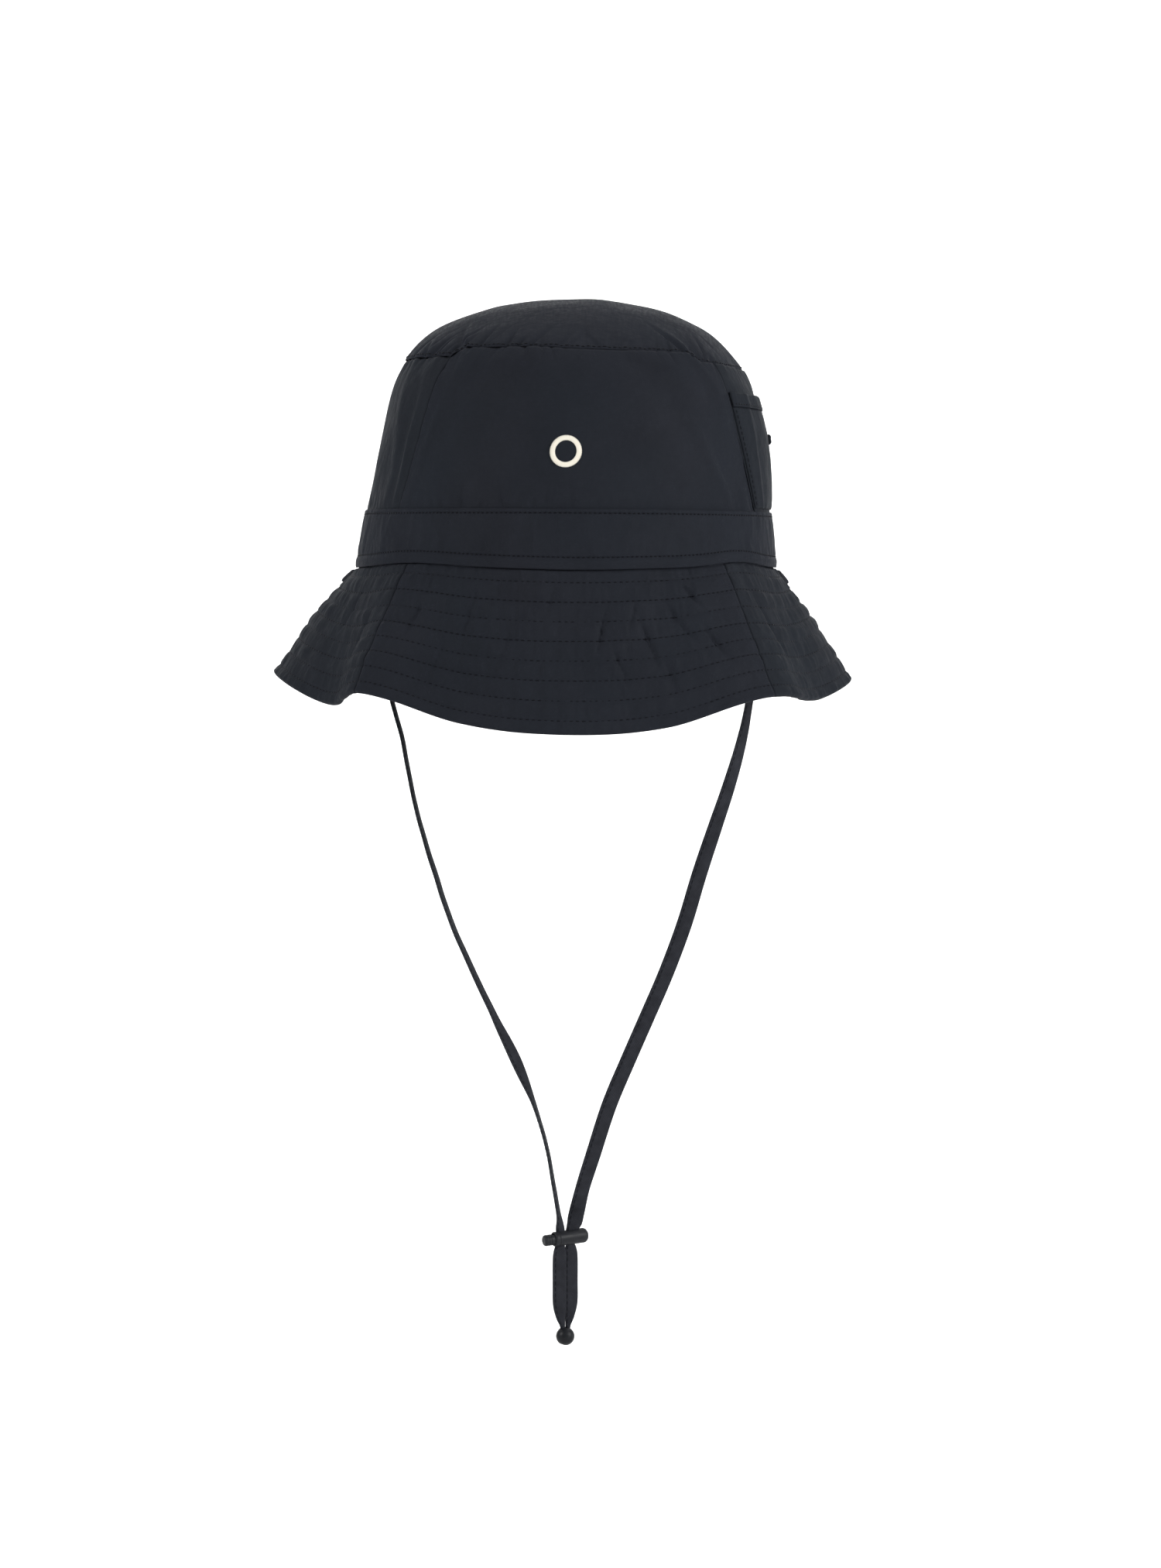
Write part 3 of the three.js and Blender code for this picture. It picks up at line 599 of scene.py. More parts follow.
def add_camera():
    """Level with the hat's brim from the front, with the hat and its strap filling the height."""
    camera = bpy.data.objects.new("camera", bpy.data.cameras.new("camera"))
    bpy.context.scene.collection.objects.link(camera)
    elevation = math.radians(CAMERA_ELEVATION)
    back = Vector((0, -math.cos(elevation), math.sin(elevation)))
    camera.location = Vector(CAMERA_TARGET) + back * CAMERA_DISTANCE
    camera.rotation_euler = (-back).to_track_quat("-Z", "Y").to_euler()
    camera.data.sensor_width = SENSOR
    camera.data.lens = SENSOR * CAMERA_DISTANCE / PICTURE_HEIGHT
    camera.data.clip_end = 50
    bpy.context.scene.camera = camera


def add_floor():
    """A pale seamless sweep: floor, bend and backdrop in one sheet."""
    floor_z, depth, bend, height, half = -0.352, 2.6, 0.8, 4.0, 6.0
    profile = [(-4.0, 0.0), (depth - bend, 0.0)]
    profile += [(depth - bend + bend * math.sin(a), bend - bend * math.cos(a))
                for a in np.radians(np.arange(6, 90, 6))]
    profile += [(depth, bend), (depth, height)]
    vertices = [(x, y, floor_z + z) for x in (-half, half) for y, z in profile]
    count = len(profile)
    faces = [(k, k + 1, count + k + 1, count + k) for k in range(count - 1)]
    mesh = bpy.data.meshes.new("floor")
    mesh.from_pydata(vertices, [], faces)
    mesh.shade_smooth()
    paper = Shading("paper", 0.85, Specular_IOR_Level=0.2)
    paper.color(paper.ramp(paper.noise(3, 2), [(0.3, 0.86), (0.7, 0.88)]))
    mesh.materials.append(paper.material)
    floor = bpy.data.objects.new("floor", mesh)
    bpy.context.scene.collection.objects.link(floor)


def add_light(name, location, target, size, power):
    data = bpy.data.lights.new(name, "AREA")
    data.shape = "RECTANGLE"
    data.size, data.size_y = size
    data.energy = power
    light = bpy.data.objects.new(name, data)
    light.location = location
    light.rotation_euler = (Vector(target) - Vector(location)).to_track_quat("-Z", "Y").to_euler()
    bpy.context.scene.collection.objects.link(light)


def add_lights():
    """Large soft panels: one at the front left, one at the front right, one above and behind that lights the backdrop,
    and a dim even sky.
    """
    add_light("key", (-2.0, -1.1, 1.0), (0, 0, 0), (0.6, 0.8), 54)
    add_light("right", (2.0, -1.0, 0.7), (0, 0, -0.05), (0.6, 1.0), 66)
    add_light("backdrop", (0, 0.9, 2.4), (0, 2.6, 0.2), (3.5, 1.0), 120)
    world = bpy.data.worlds.new("studio")
    world.use_nodes = True
    world.node_tree.nodes["Background"].inputs["Color"].default_value = (1, 1, 1, 1)
    world.node_tree.nodes["Background"].inputs["Strength"].default_value = 0.12
    bpy.context.scene.world = world
    bpy.context.scene.view_settings.view_transform = "Standard"


add_camera()
add_floor()
add_lights()


# ------------------------------------------------------------------ chin strap

STRAP_THICKNESS = 1.2
STRAP_SHARE = (SLOT["near"] + SLOT["far"]) / 2 / brim_width(np.array(90.0))
UNDER_FACE = -BRIM_THICKNESS
barrel_turn = math.radians(TOGGLE["turn"])
BARREL = np.array([math.cos(barrel_turn), math.sin(barrel_turn), 0])
SECTION_STEPS = 11


def down_brim(azimuth):
    near, far = (SLOT[edge] / brim_width(np.array(90.0)) for edge in ("near", "far"))
    return unit(brim(azimuth, far)[0] - brim(azimuth, near)[0])


def strap_section():
    """Across and up, from -1 to 1: a flat strap, thicker at its folded edge, with a sewn furrow near the other."""
    across = np.sin(np.linspace(-math.pi / 2, math.pi / 2, SECTION_STEPS))
    half = np.clip(1 - np.abs(across) ** 5, 0, 1) ** 0.5 * (0.88 + 0.12 * across)
    half = half - 0.3 * bump(across + 0.62, 0.12)
    upper = np.stack([across, half], axis=1)
    lower = np.stack([across[-2:0:-1], -half[-2:0:-1]], axis=1)
    return np.vstack([upper, lower])


def strap_piece(name, points, across, widths, thicknesses, seed):
    """A stitched flat strap along a line of points. Returns the piece and the points that it follows."""
    step = 1.4
    along = lengths(points)
    count = max(int(along[-1] / step), 8)
    at = np.linspace(0, along[-1], count + 1)
    rows = np.column_stack([points, across, widths, thicknesses])
    rows = np.stack([np.interp(at, along, rows[:, k]) for k in range(rows.shape[1])], axis=1)
    centre = rows[:, :3]
    tangent = unit(np.gradient(centre, axis=0))
    side = rows[:, 3:6]
    side = unit(side - tangent * np.sum(side * tangent, axis=1, keepdims=True))
    face = np.cross(tangent, side)
    wander = 0.12 * noise(at / 9, 0 * at, seed) * smooth(at, 0, 12) * smooth(at[-1] - at, 0, 12)
    section = strap_section()
    curl = 0.10 * noise(at / 16, 0 * at + 3, seed) * smooth(at, 0, 12) * smooth(at[-1] - at, 0, 12)
    rings = []
    for u, v in section:
        lift = v * rows[:, 7] / 2 + wander + curl * (u * u - 0.5) * rows[:, 6] / 7
        rings.append(centre + side * (u * rows[:, 6] / 2)[:, None] + face * lift[:, None])
    points_all = np.stack(rings, axis=1)
    rings_count, sides = points_all.shape[:2]
    around = np.concatenate([[0], np.cumsum(np.linalg.norm(np.diff(section, axis=0), axis=1))]) * STRAP_WIDTH / 2
    uvs = np.stack(np.broadcast_arrays(around[None, :], at[:, None]), axis=-1).reshape(-1, 2)
    strap = make_piece(name, points_all.reshape(-1, 3), drum((rings_count, sides)), uvs, strap_webbing)
    threads = []
    for way in (1, -1):
        line = centre + side * (-0.62 * rows[:, 6] / 2)[:, None]
        line = line + face * (wander + way * 0.36 * rows[:, 7])[:, None]
        threads.append(row_of_stitches(line, face * way, 2.6, 2.0, 0))
    join(strap, stitches(name + "_stitches", *gather_rows(threads), (2.0, 0.17), dark_thread))
    return strap, centre


def join(piece, *others):
    with bpy.context.temp_override(active_object=piece, object=piece, selected_objects=[piece, *others],
                                   selected_editable_objects=[piece, *others]):
        bpy.ops.object.join()
    return piece


def add_strap_back():
    """The run on the brim round the back of the crown, diving through a slot at each side."""
    lie, turn = 0.4 + STRAP_THICKNESS / 2, 1.5
    start, end = SLOT["azimuths"]
    dive = [[0, UNDER_FACE - 0.2], [0, -1.2], [0, lie - turn]]
    bend = [[turn * (1 - math.cos(a)), lie - turn + turn * math.sin(a)] for a in np.radians([22.5, 45, 67.5, 90])]
    arm = dive + bend
    azimuths = [start + degrees_of(x, start) for x, _ in arm] + list(np.linspace(start + 4, end - 4, 60))
    offsets = [z for _, z in arm] + [lie] * 60
    azimuths += [end - degrees_of(x, end) for x, _ in reversed(arm)]
    offsets += [z for _, z in reversed(arm)]
    azimuths, offsets = np.array(azimuths), np.array(offsets)
    base, normal = brim(azimuths, STRAP_SHARE)
    points = base + normal * offsets[:, None]
    count = len(points)
    strap, path = strap_piece("strap_round_back", points, down_brim(azimuths), np.full(count, STRAP_WIDTH),
                              np.full(count, STRAP_THICKNESS), 41)
    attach(strap, "hat")
    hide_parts("chin_strap_back")
    return strap


# Where each run gathers above the toggle: distance beyond its place in the throat, z, width, thickness and turn.
GATHERED = {
    1: ((3.2, -285, 7, 1.2, 5), (2.1, -289.3, 6.7, 1.3, 10), (0.2, -292.8, 4.8, 1.5, 27)),
    -1: ((1.0, -285, 6.6, 1.2, 76), (0.4, -289.5, 5.4, 1.4, 55), (0, -292.8, 4.4, 1.5, 27)),
}


def strap_route(side, route):
    """Points, directions across, widths and thicknesses of a hanging run, from its slot into the toggle."""
    slot = SLOT["azimuths"][0] if side > 0 else SLOT["azimuths"][1]
    base, normal = brim(np.array([slot, slot]), STRAP_SHARE)
    points = [*(base + normal * np.array([[UNDER_FACE - 0.7], [UNDER_FACE - 1.7]]))]
    across = [*(down_brim(np.array([slot, slot])) * side)]
    widths, thicknesses = [STRAP_WIDTH] * 2, [STRAP_THICKNESS] * 2
    for x, z, turn in route:
        points.append(np.array([x, 0, z]))
        across.append(np.array([math.cos(math.radians(turn)), math.sin(math.radians(turn)), 0]))
        widths.append(STRAP_WIDTH)
        thicknesses.append(STRAP_THICKNESS)
    for beyond, z, width, thickness, turn in (*GATHERED[side], (0, TOGGLE["z"], 4.4, 1.5, TOGGLE["turn"])):
        points.append(BARREL * (THROAT["middle"] + side * (2.4 + beyond)) + np.array([0, 0, z]))
        across.append(np.array([math.cos(math.radians(turn)), math.sin(math.radians(turn)), 0]))
        widths.append(width)
        thicknesses.append(thickness)
    rows = np.column_stack([points, across, widths, thicknesses])
    fine = catmull_rom(rows, 10)
    return fine[:, :3], fine[:, 3:6], fine[:, 6], fine[:, 7]


def tail_route(side):
    """The short end below the toggle: it spreads, hangs straight and tapers into the bead."""
    stations = [
        (2.4, 0, TOGGLE["z"] - 0.3, 4.4, 1.5), (2.4, 0, -298.6, 4.4, 1.5), (2.9, -0.4, -301, 5.9, 1.3),
        (3.2, -0.6, -305, 6.7, 1.2), (3.25, -0.7, -316, 6.8, 1.2), (3.1, -0.6, -325, 6.5, 1.2),
        (2.3, -0.3, -331, 4.4, 1.4), (1.3, 0, -335.2, 2.3, 1.5), (1.3, 0, BEAD["z"] - 3, 2.2, 1.5),
    ]
    front = np.array([BARREL[1], -BARREL[0], 0])
    rows = [
        [*(BARREL * (THROAT["middle"] + side * beside) + front * forward * side + [0, 0, z]), *BARREL, width, thick]
        for beside, forward, z, width, thick in stations
    ]
    fine = catmull_rom(np.array(rows), 8)
    return fine[:, :3], fine[:, 3:6], fine[:, 6], fine[:, 7]


def add_strap_runs():
    """Each side's hanging run, from its slot under the brim down into the toggle, and its tail from the toggle into
    the bead.
    """
    for side, name, route in ((1, "right", STRAP_RIGHT), (-1, "left", STRAP_LEFT)):
        run, path = strap_piece(f"strap_run_{name}", *strap_route(side, route), 50 + side)
        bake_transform(run)
        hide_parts(f"chin_strap_{name}")
        tail, path = strap_piece(f"strap_tail_{name}", *tail_route(side), 60 + side)
        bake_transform(tail)
        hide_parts(f"chin_strap_{name}")


# ------------------------------------------------------------------ toggle and bead


def turned(name, profile, sides, material):
    """A round solid along X from pairs of x and radius; the first and last lie on the axis."""
    angle = np.linspace(0, 2 * np.pi, sides, endpoint=False)
    rings = np.array([[[x, r * math.cos(a), r * math.sin(a)] for a in angle] for x, r in profile[1:-1]])
    return make_piece(name, rings.reshape(-1, 3), drum(rings.shape[:2]), None, material)


def round_corners(profile, radius, steps=4):
    """The profile with each inner corner replaced by a small arc."""
    points = [np.array(p, float) for p in profile]
    result = [points[0]]
    for before, corner, after in zip(points, points[1:], points[2:]):
        back, ahead = unit(before - corner), unit(after - corner)
        cut = min(radius, np.linalg.norm(before - corner) * 0.45, np.linalg.norm(after - corner) * 0.45)
        start, end = corner + back * cut, corner + ahead * cut
        for t in np.linspace(0, 1, steps):
            result.append((1 - t) ** 2 * start + 2 * t * (1 - t) * corner + t * t * end)
    return [tuple(p) for p in [*result, points[-1]]]


def apply_modifiers(piece):
    with bpy.context.temp_override(active_object=piece, object=piece, selected_objects=[piece]):
        for modifier in list(piece.modifiers):
            bpy.ops.object.modifier_apply(modifier=modifier.name)


def cut_away(piece, *tools):
    for tool in tools:
        modifier = piece.modifiers.new("cut", "BOOLEAN")
        modifier.object = tool
        modifier.solver = "EXACT"
    apply_modifiers(piece)
    for tool in tools:
        bpy.data.objects.remove(tool)
    bevel = piece.modifiers.new("soften", "BEVEL")
    bevel.width = 0.00018
    bevel.segments = 2
    bevel.limit_method = "ANGLE"
    bevel.angle_limit = math.radians(40)
    apply_modifiers(piece)
    piece.data.shade_smooth()
    normals = piece.modifiers.new("even normals", "WEIGHTED_NORMAL")
    normals.keep_sharp = True
    apply_modifiers(piece)


def window(length, middle, tilt):
    """A rounded upright opening through the barrel, for cutting."""
    half, end = THROAT["width"] / 2, length / 2
    corner = [(end - half + half * math.cos(a), half * math.sin(a)) for a in np.radians(np.arange(-90, 91, 15))]
    outline_points = corner + [(-x, -y) for x, y in corner]
    vertices = np.array([(middle + x, y, z) for z in (-8, 8) for x, y in outline_points])
    piece = make_piece("window", vertices, drum((2, len(outline_points))), None, None)
    piece.rotation_euler = (0, math.radians(tilt), 0)
    bpy.context.view_layer.update()
    piece.data.transform(piece.matrix_world)
    piece.rotation_euler = (0, 0, 0)
    return piece


toggle_place = (Matrix.Translation((0, 0, TOGGLE["z"] / 1000))
                @ Euler((0, math.radians(-TOGGLE["tilt"]), barrel_turn)).to_matrix().to_4x4())


def place_in_toggle(piece):
    piece.data.transform(toggle_place)


def add_barrel():
    start, end, radius = TOGGLE["start"], TOGGLE["start"] + TOGGLE["length"], TOGGLE["radius"]
    profile = [(start, 0), (start, radius - 0.25), (start + 0.4, radius), (start + 1.6, radius),
               (start + 1.75, radius - 0.14), (start + 2.05, radius - 0.14), (start + 2.2, radius),
               (end - 1.6, radius), (end - 0.6, radius - 0.55), (end, radius - 1.5), (end, 0)]
    barrel = turned("toggle_body", round_corners(profile, 0.35), 72, black_plastic)
    bore = turned("bore", [(start - 1, 0), (start - 1, TOGGLE["bore"]), (end - 0.8, TOGGLE["bore"]),
                           (end - 0.8, 0)], 72, None)
    cut_away(barrel, bore, window(THROAT["length"], THROAT["middle"], TOGGLE["tilt"]))
    place_in_toggle(barrel)
    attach(barrel, "toggle")
    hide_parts("toggle_barrel")
    return barrel


def add_plunger():
    radius, end = PLUNGER["radius"], PLUNGER["end"]
    tip = TOGGLE["start"] - PLUNGER["reach"]
    profile = [(tip, 0), (tip, radius - 0.9), (tip + 0.25, radius - 0.3), (tip + 0.9, radius), (tip + 1.6, radius),
               (tip + 1.75, radius - 0.12), (tip + 1.95, radius - 0.12), (tip + 2.1, radius), (tip + 2.7, radius),
               (tip + 2.85, radius - 0.12), (tip + 3.05, radius - 0.12), (tip + 3.2, radius), (end, radius), (end, 0)]
    plunger = turned("toggle_button", round_corners(profile, 0.3), 64, black_plastic)
    cut_away(plunger, window(THROAT["length"] + 2.4, THROAT["middle"] - 1.3, TOGGLE["tilt"]))
    place_in_toggle(plunger)
    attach(plunger, "plunger")
    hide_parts("toggle_plunger")
    return plunger


def add_spring():
    radius, wire, turns = SPRING["radius"], SPRING["wire"], SPRING["turns"]
    low = PLUNGER["end"] + wire + 0.2
    high = TOGGLE["start"] + TOGGLE["length"] - 0.8 - wire - 0.2
    angle = np.linspace(0, turns * 2 * np.pi, int(turns * 36))
    centre = np.column_stack([np.linspace(low, high, len(angle)), radius * np.cos(angle), radius * np.sin(angle)])
    radial = np.column_stack([0 * angle, np.cos(angle), np.sin(angle)])
    binormal = unit(np.cross(np.gradient(centre, axis=0), radial))
    sides = 12
    rings = [centre + wire * (math.cos(a) * radial + math.sin(a) * binormal)
             for a in np.linspace(0, 2 * np.pi, sides, endpoint=False)]
    points = np.stack(rings, axis=1)
    spring = make_piece("toggle_coil", points.reshape(-1, 3), drum(points.shape[:2]), None, spring_steel)
    place_in_toggle(spring)
    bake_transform(spring)
    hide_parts("toggle_spring")
    return spring


def add_bead():
    """A round bead with a moulded parting line and a slot for the two tails."""
    radius, (length, width) = BEAD["radius"], BEAD["hole"]
    angles = np.radians(np.linspace(0, 180, 33))
    profile = [(-radius * math.cos(a), radius * math.sin(a) + 0.05 * math.exp(-((math.cos(a) * radius / 0.2) ** 2)))
               for a in angles]
    bead = turned("tail_bead", profile, 64, bead_plastic)
    for vertex in bead.data.vertices:
        vertex.co = Vector((vertex.co.y, vertex.co.z, vertex.co.x))
    half = width / 2
    end = length / 2
    corner = [(end - half + half * math.cos(a), half * math.sin(a)) for a in np.radians(np.arange(-90, 91, 15))]
    outline_points = corner + [(-x, -y) for x, y in corner]
    vertices = np.array([(x, y, z) for z in (-8, 8) for x, y in outline_points])
    hole = make_piece("hole", vertices, drum((2, len(outline_points))), None, None)
    cut_away(bead, hole)
    bead.data.transform(rotation_about_z(barrel_turn))
    bead.location = Vector(BARREL * THROAT["middle"] + [0, 0, BEAD["z"]]) / 1000
    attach(bead, "strap")
    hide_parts("end_bead")
    return bead


def rotation_about_z(angle):
    return Matrix.Rotation(angle, 4, "Z")


# ------------------------------------------------------------------ relief shared by the cloth pieces


def puckers(distance, along, pitch, reach, depth, seed, slant=0.0):
    """Creases that start at a seam, lean with distance from it and fade over reach."""
    fade = np.exp(-distance / reach)
    return depth * fade * pleats(along - slant * distance, pitch, seed, distance / (2.2 * reach))


def creases(distance, azimuth, count, seed, depth, reach, width, lean=0.0):
    """Sharp narrow dents that start at a seam all round the hat, each with its own depth, reach and lean."""
    spread = np.random.default_rng(seed).uniform(-1, 1, (4, count))
    relief = 0.0
    for k in range(count):
        place = (k + 0.5 + 0.42 * spread[0, k]) * 360 / count
        own_reach = reach * (1 + 0.6 * spread[1, k])
        away = np.radians(np.mod(azimuth - place + 180, 360) - 180) * 85 + (lean + 0.35 * spread[3, k]) * distance
        own_depth = depth * (0.62 + 0.38 * spread[2, k])
        relief = relief - own_depth * np.exp(-np.abs(away) / width - (distance / own_reach) ** 2)
    return relief


def not_below(relief, floor):
    """The relief with its deepest dents softly stopped at a floor."""
    return floor + np.log1p(np.exp((relief - floor) * 6)) / 6


def pair_of_skins(point, normal, relief, thickness):
    outer = point + normal * relief[..., None]
    return outer, outer - normal * thickness


def sew(piece, rows, size, material):
    """Joins rows of stitches to the cloth that they hold."""
    threads = stitches(piece.name + "_thread", *gather_rows(rows), size, material)
    join(piece, threads)


# ------------------------------------------------------------------ crown

CLOTH = 0.5
SEAM_SHARE = 0.0012
SEAM_ANGLE = 0.03
LINING_OFFSET = -1.55
SWEATBAND_OFFSET = -2.5


def tip_seam(azimuth):
    """Share of the seam between wall and tip: it dips past a small fold at each side of the front."""
    turn = np.abs((np.asarray(azimuth, float) + 180) % 360 - 180)
    dip = 4.5 * smooth(turn, 41, 46.5) * (1 - smooth(turn, 85, 140))
    return TIP_SHARE - dip / outline_length


def wall_place(panel, u, v):
    """Azimuth and share of a spot on a wall panel, u from its first seam to its last and v from brim to tip."""
    (start_low, start_high), (end_low, end_high) = WALL_PANELS[panel]
    start = start_low + (start_high - start_low) * v + SEAM_ANGLE
    end = end_low + (end_high - end_low) * v - SEAM_ANGLE
    azimuth = start + (end - start) * u
    share = SEAM_SHARE + (tip_seam(azimuth) - 2 * SEAM_SHARE) * v
    radius = np.interp(share, outline_share, outline[:, 0])
    return azimuth, share, np.radians(end - start) * radius


def ridge(distance, height, place, width, depth, seed):
    """A fold that runs beside a seam, wandering and coming and going along its height."""
    middle = place + 0.3 * place * noise(height / 24, 0 * height, seed)
    strength = 0.55 + 0.75 * noise(height / 19, 0 * height + 7, seed)
    return depth * np.clip(strength, 0, 2) * bump(distance - middle, width)


WALL_FOLDS = {
    "front": (
        (0, 6, 2.4, 0.9), (0, 14, 4.5, -0.7), (0, 25, 8, 0.5),
        (1, 8, 3.5, 0.7), (1, 15, 4, -1.1), (1, 24, 5, 1.5), (1, 37, 8, -1.1),
    ),
    "right": ((0, 6, 3, 0.3), (1, 8, 3, 0.4)),
    "back": ((0, 7, 2.5, 0.9), (0, 18, 5, -0.6), (1, 9, 3, 0.9), (1, 20, 5, -0.6)),
    "left": ((1, 5, 2, 0.8), (1, 11, 3, -0.7), (1, 18, 4, 0.7), (0, 8, 3, 0.8)),
}


def wall_face(panel, u, v):
    """Points and outward directions of a wall panel's outer side, with its folds, dents and puckers."""
    u, v = np.broadcast_arrays(np.asarray(u, float), np.asarray(v, float))
    azimuth, share, span = wall_place(panel, u, v)
    point, normal = crown(azimuth, share)
    seed = 100 + list(WALL_PANELS).index(panel) * 10
    height = share * outline_length
    below_tip = (tip_seam(azimuth) - share) * outline_length
    ring = np.mod(azimuth, 360) / 360
    relief = 1.0 * noise(ring * 14, height / 34, 100, 14) + 0.5 * noise(ring * 33, height / 21, 101, 33)
    for k, (side, place, width, depth) in enumerate(WALL_FOLDS[panel]):
        distance = (1 - u if side else u) * span
        lean = place * (0.6 + 0.8 * v)
        relief = relief + ridge(distance, height, lean, width, depth, seed + 2 + k) * smooth(distance, 0, 4)
    order = list(WALL_PANELS).index(panel)
    for distance, seam in ((u * span, order), ((1 - u) * span, (order + 1) % 4)):
        relief = relief + puckers(distance, height, 6, 4.5, 0.5, 150 + seam) - 0.12 * bump(distance, 0.6)
    relief = relief + creases(below_tip, azimuth, 80, 171, 1.1, 6, 1.1)
    relief = relief + creases(np.maximum(height - BAND_HEIGHT, 0), azimuth, 84, 172, 1.2, 6, 1.1)
    relief = relief - 0.2 * bump(below_tip, 0.7)
    relief = relief * smooth(height, BAND_HEIGHT - 1, BAND_HEIGHT + 3)
    if panel == "right":
        relief = relief * (0.12 + 0.88 * smooth(height, POCKET["mouth"] - 1, POCKET["mouth"] + 8))
    return point, normal, not_below(relief, -1.0)


def add_wall_panels():
    for panel, piece_name, color in (("front", "crown_front", shell_cloth), ("right", "crown_side_right", side_cloth),
                                     ("back", "crown_rear", shell_cloth), ("left", "crown_side_left", side_cloth)):
        _, _, span = wall_place(panel, 0.0, 0.0)
        columns, rows = int(span / 0.95), 98
        u, v = np.meshgrid(np.linspace(0, 1, columns), np.linspace(0, 1, rows), indexing="ij")
        point, normal, relief = wall_face(panel, u, v)
        outer, inner = pair_of_skins(point, normal, relief, CLOTH)
        uv = np.stack([(u - 0.5) * span, v * TIP_SEAM_Z], axis=-1)
        piece = shell(piece_name, outer, inner, uv, color)
        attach(piece, "hat")
        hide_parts(f"crown_{panel}_panel")


def disc(count):
    """Azimuth and distance from the middle, 0 to 1, over a square grid pressed into a circle."""
    a, b = np.meshgrid(np.linspace(-1, 1, count), np.linspace(-1, 1, count), indexing="ij")
    wide = np.abs(a) > np.abs(b)
    safe_a, safe_b = np.where(a == 0, 1, a), np.where(b == 0, 1, b)
    radius = np.where(wide, a, b)
    turn = np.where(wide, math.pi / 4 * b / safe_a, math.pi / 2 - math.pi / 4 * a / safe_b)
    turn = np.where(radius < 0, turn + math.pi, turn)
    return np.degrees(turn), np.abs(radius)


TIP_CREASES = ((-42.5, 15, 1.3), (41, 13, 1.3), (-61, 9, 0.6), (66, 10, 0.7), (8, 8, 0.5), (150, 12, 0.9),
               (-140, 11, 0.9))


def tip_face(azimuth, radius):
    """Points, directions and relief of the tip: dented, with leaning puckers inside its seam."""
    low = tip_seam(azimuth) + SEAM_SHARE
    share = low + (1 - low) * (1 - radius)
    point, normal = crown(azimuth, share)
    inside = (share - low) * outline_length
    ring = np.mod(azimuth, 360) / 360
    x, y = point[..., 0], point[..., 1]
    relief = 1.2 * noise(x / 34 + 9, y / 30 + 9, 201) + 0.4 * noise(x / 14 + 20, y / 15 + 20, 202)
    turn = np.abs(np.mod(azimuth + 180, 360) - 180)
    calm = 1 - 0.65 * smooth(turn, 50, 75) * (1 - smooth(turn, 105, 130))
    slanted = np.mod(ring - inside / 620, 1)
    relief = relief + 0.7 * calm * np.exp(-inside / 8) * (0.5 - np.sqrt(np.abs(noise(slanted * 56, inside / 14, 203, 56))))
    relief = relief + calm * creases(inside, azimuth, 76, 204, 2.0, 9, 1.2, -0.5)
    relief = relief - 0.25 * bump(inside, 0.7)
    for place, reach, depth in TIP_CREASES:
        away = (np.mod(azimuth - place + 180, 360) - 180) * math.pi / 180 * 72 + 0.45 * inside
        relief = relief - 1.3 * depth * bump(away, 1.4) * np.exp(-((inside / reach) ** 2))
        relief = relief + 0.6 * depth * bump(away - 3.2, 2.2) * np.exp(-((inside / reach) ** 2))
    return point, normal, not_below(relief, -1.1)


def add_tip():
    azimuth, radius = disc(190)
    point, normal, relief = tip_face(azimuth, radius)
    outer, inner = pair_of_skins(point, normal, relief, CLOTH)
    tip = shell("crown_tip", outer, inner, point[..., :2], shell_cloth)
    around = np.linspace(0, 360, 720)
    point, normal, relief = tip_face(around, 0 * around + 1 - 1.3 / (outline_length * (1 - TIP_SHARE)))
    line = point + normal * relief[:, None]
    sew(tip, [row_of_stitches(line, normal, 2.3, 1.6, 0.1)], (1.6, 0.25), dark_thread)
    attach(tip, "hat")
    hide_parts("crown_tip_panel")


BAND_ROWS_Z = (22.2, 4.6)
BAND_OFFSET = 0.95
BAND_FOOT_Z = -0.4


def foot_wave(azimuth):
    """How far the seam between crown and brim rises and dips, in mm."""
    turn = np.mod(np.asarray(azimuth, float) + 180, 360) - 180
    return 2.2 * bump(turn + 45, 20) + 2.5 * bump(turn - 53, 14) - 0.6 * bump(turn - 5, 15)


def band_face(azimuth, z):
    """Points, directions and relief of the band: upright creases between its two rows, and a smooth lip."""
    azimuth, z = np.broadcast_arrays(np.asarray(azimuth, float), np.asarray(z, float))
    point, normal = crown(azimuth, share_at(z))
    point[..., 2] += np.minimum(z, 0) + foot_wave(azimuth) * (1 - smooth(z, 2, 22))
    ring = np.mod(azimuth, 360) / 360
    high, low = BAND_ROWS_Z
    between = smooth(z, low, low + 2.5) * (1 - smooth(z, high - 2.5, high))
    near_low = np.exp(-np.abs(z - low - 1.5) / 4) * smooth(z, low - 0.5, low + 1)
    relief = 0.35 * noise(ring * 26, z / 16, 301, 26) * between
    relief = relief + 0.6 * between * (0.5 - np.sqrt(np.abs(noise(ring * 96, z / 30, 302, 96))))
    relief = relief + 0.55 * near_low * (0.5 - np.sqrt(np.abs(noise(ring * 150, z / 20, 303, 150))))
    relief = relief + creases(np.abs(z - high), azimuth, 80, 304, 0.5, 5, 0.9)
    relief = relief + creases(np.abs(z - low), azimuth, 96, 305, 0.5, 5, 0.9) * smooth(z, low - 1.5, low)
    for row in BAND_ROWS_Z:
        relief = relief - 0.28 * bump(z - row, 0.55)
    relief = relief - 0.3 * bump(z - BAND_HEIGHT, 0.5) - 0.3 * bump(z - BAND_FOOT_Z, 0.6)
    relief = relief + 0.25 * bump(z - 2.4, 1.3)
    return point, normal, BAND_OFFSET + not_below(relief, -0.4)


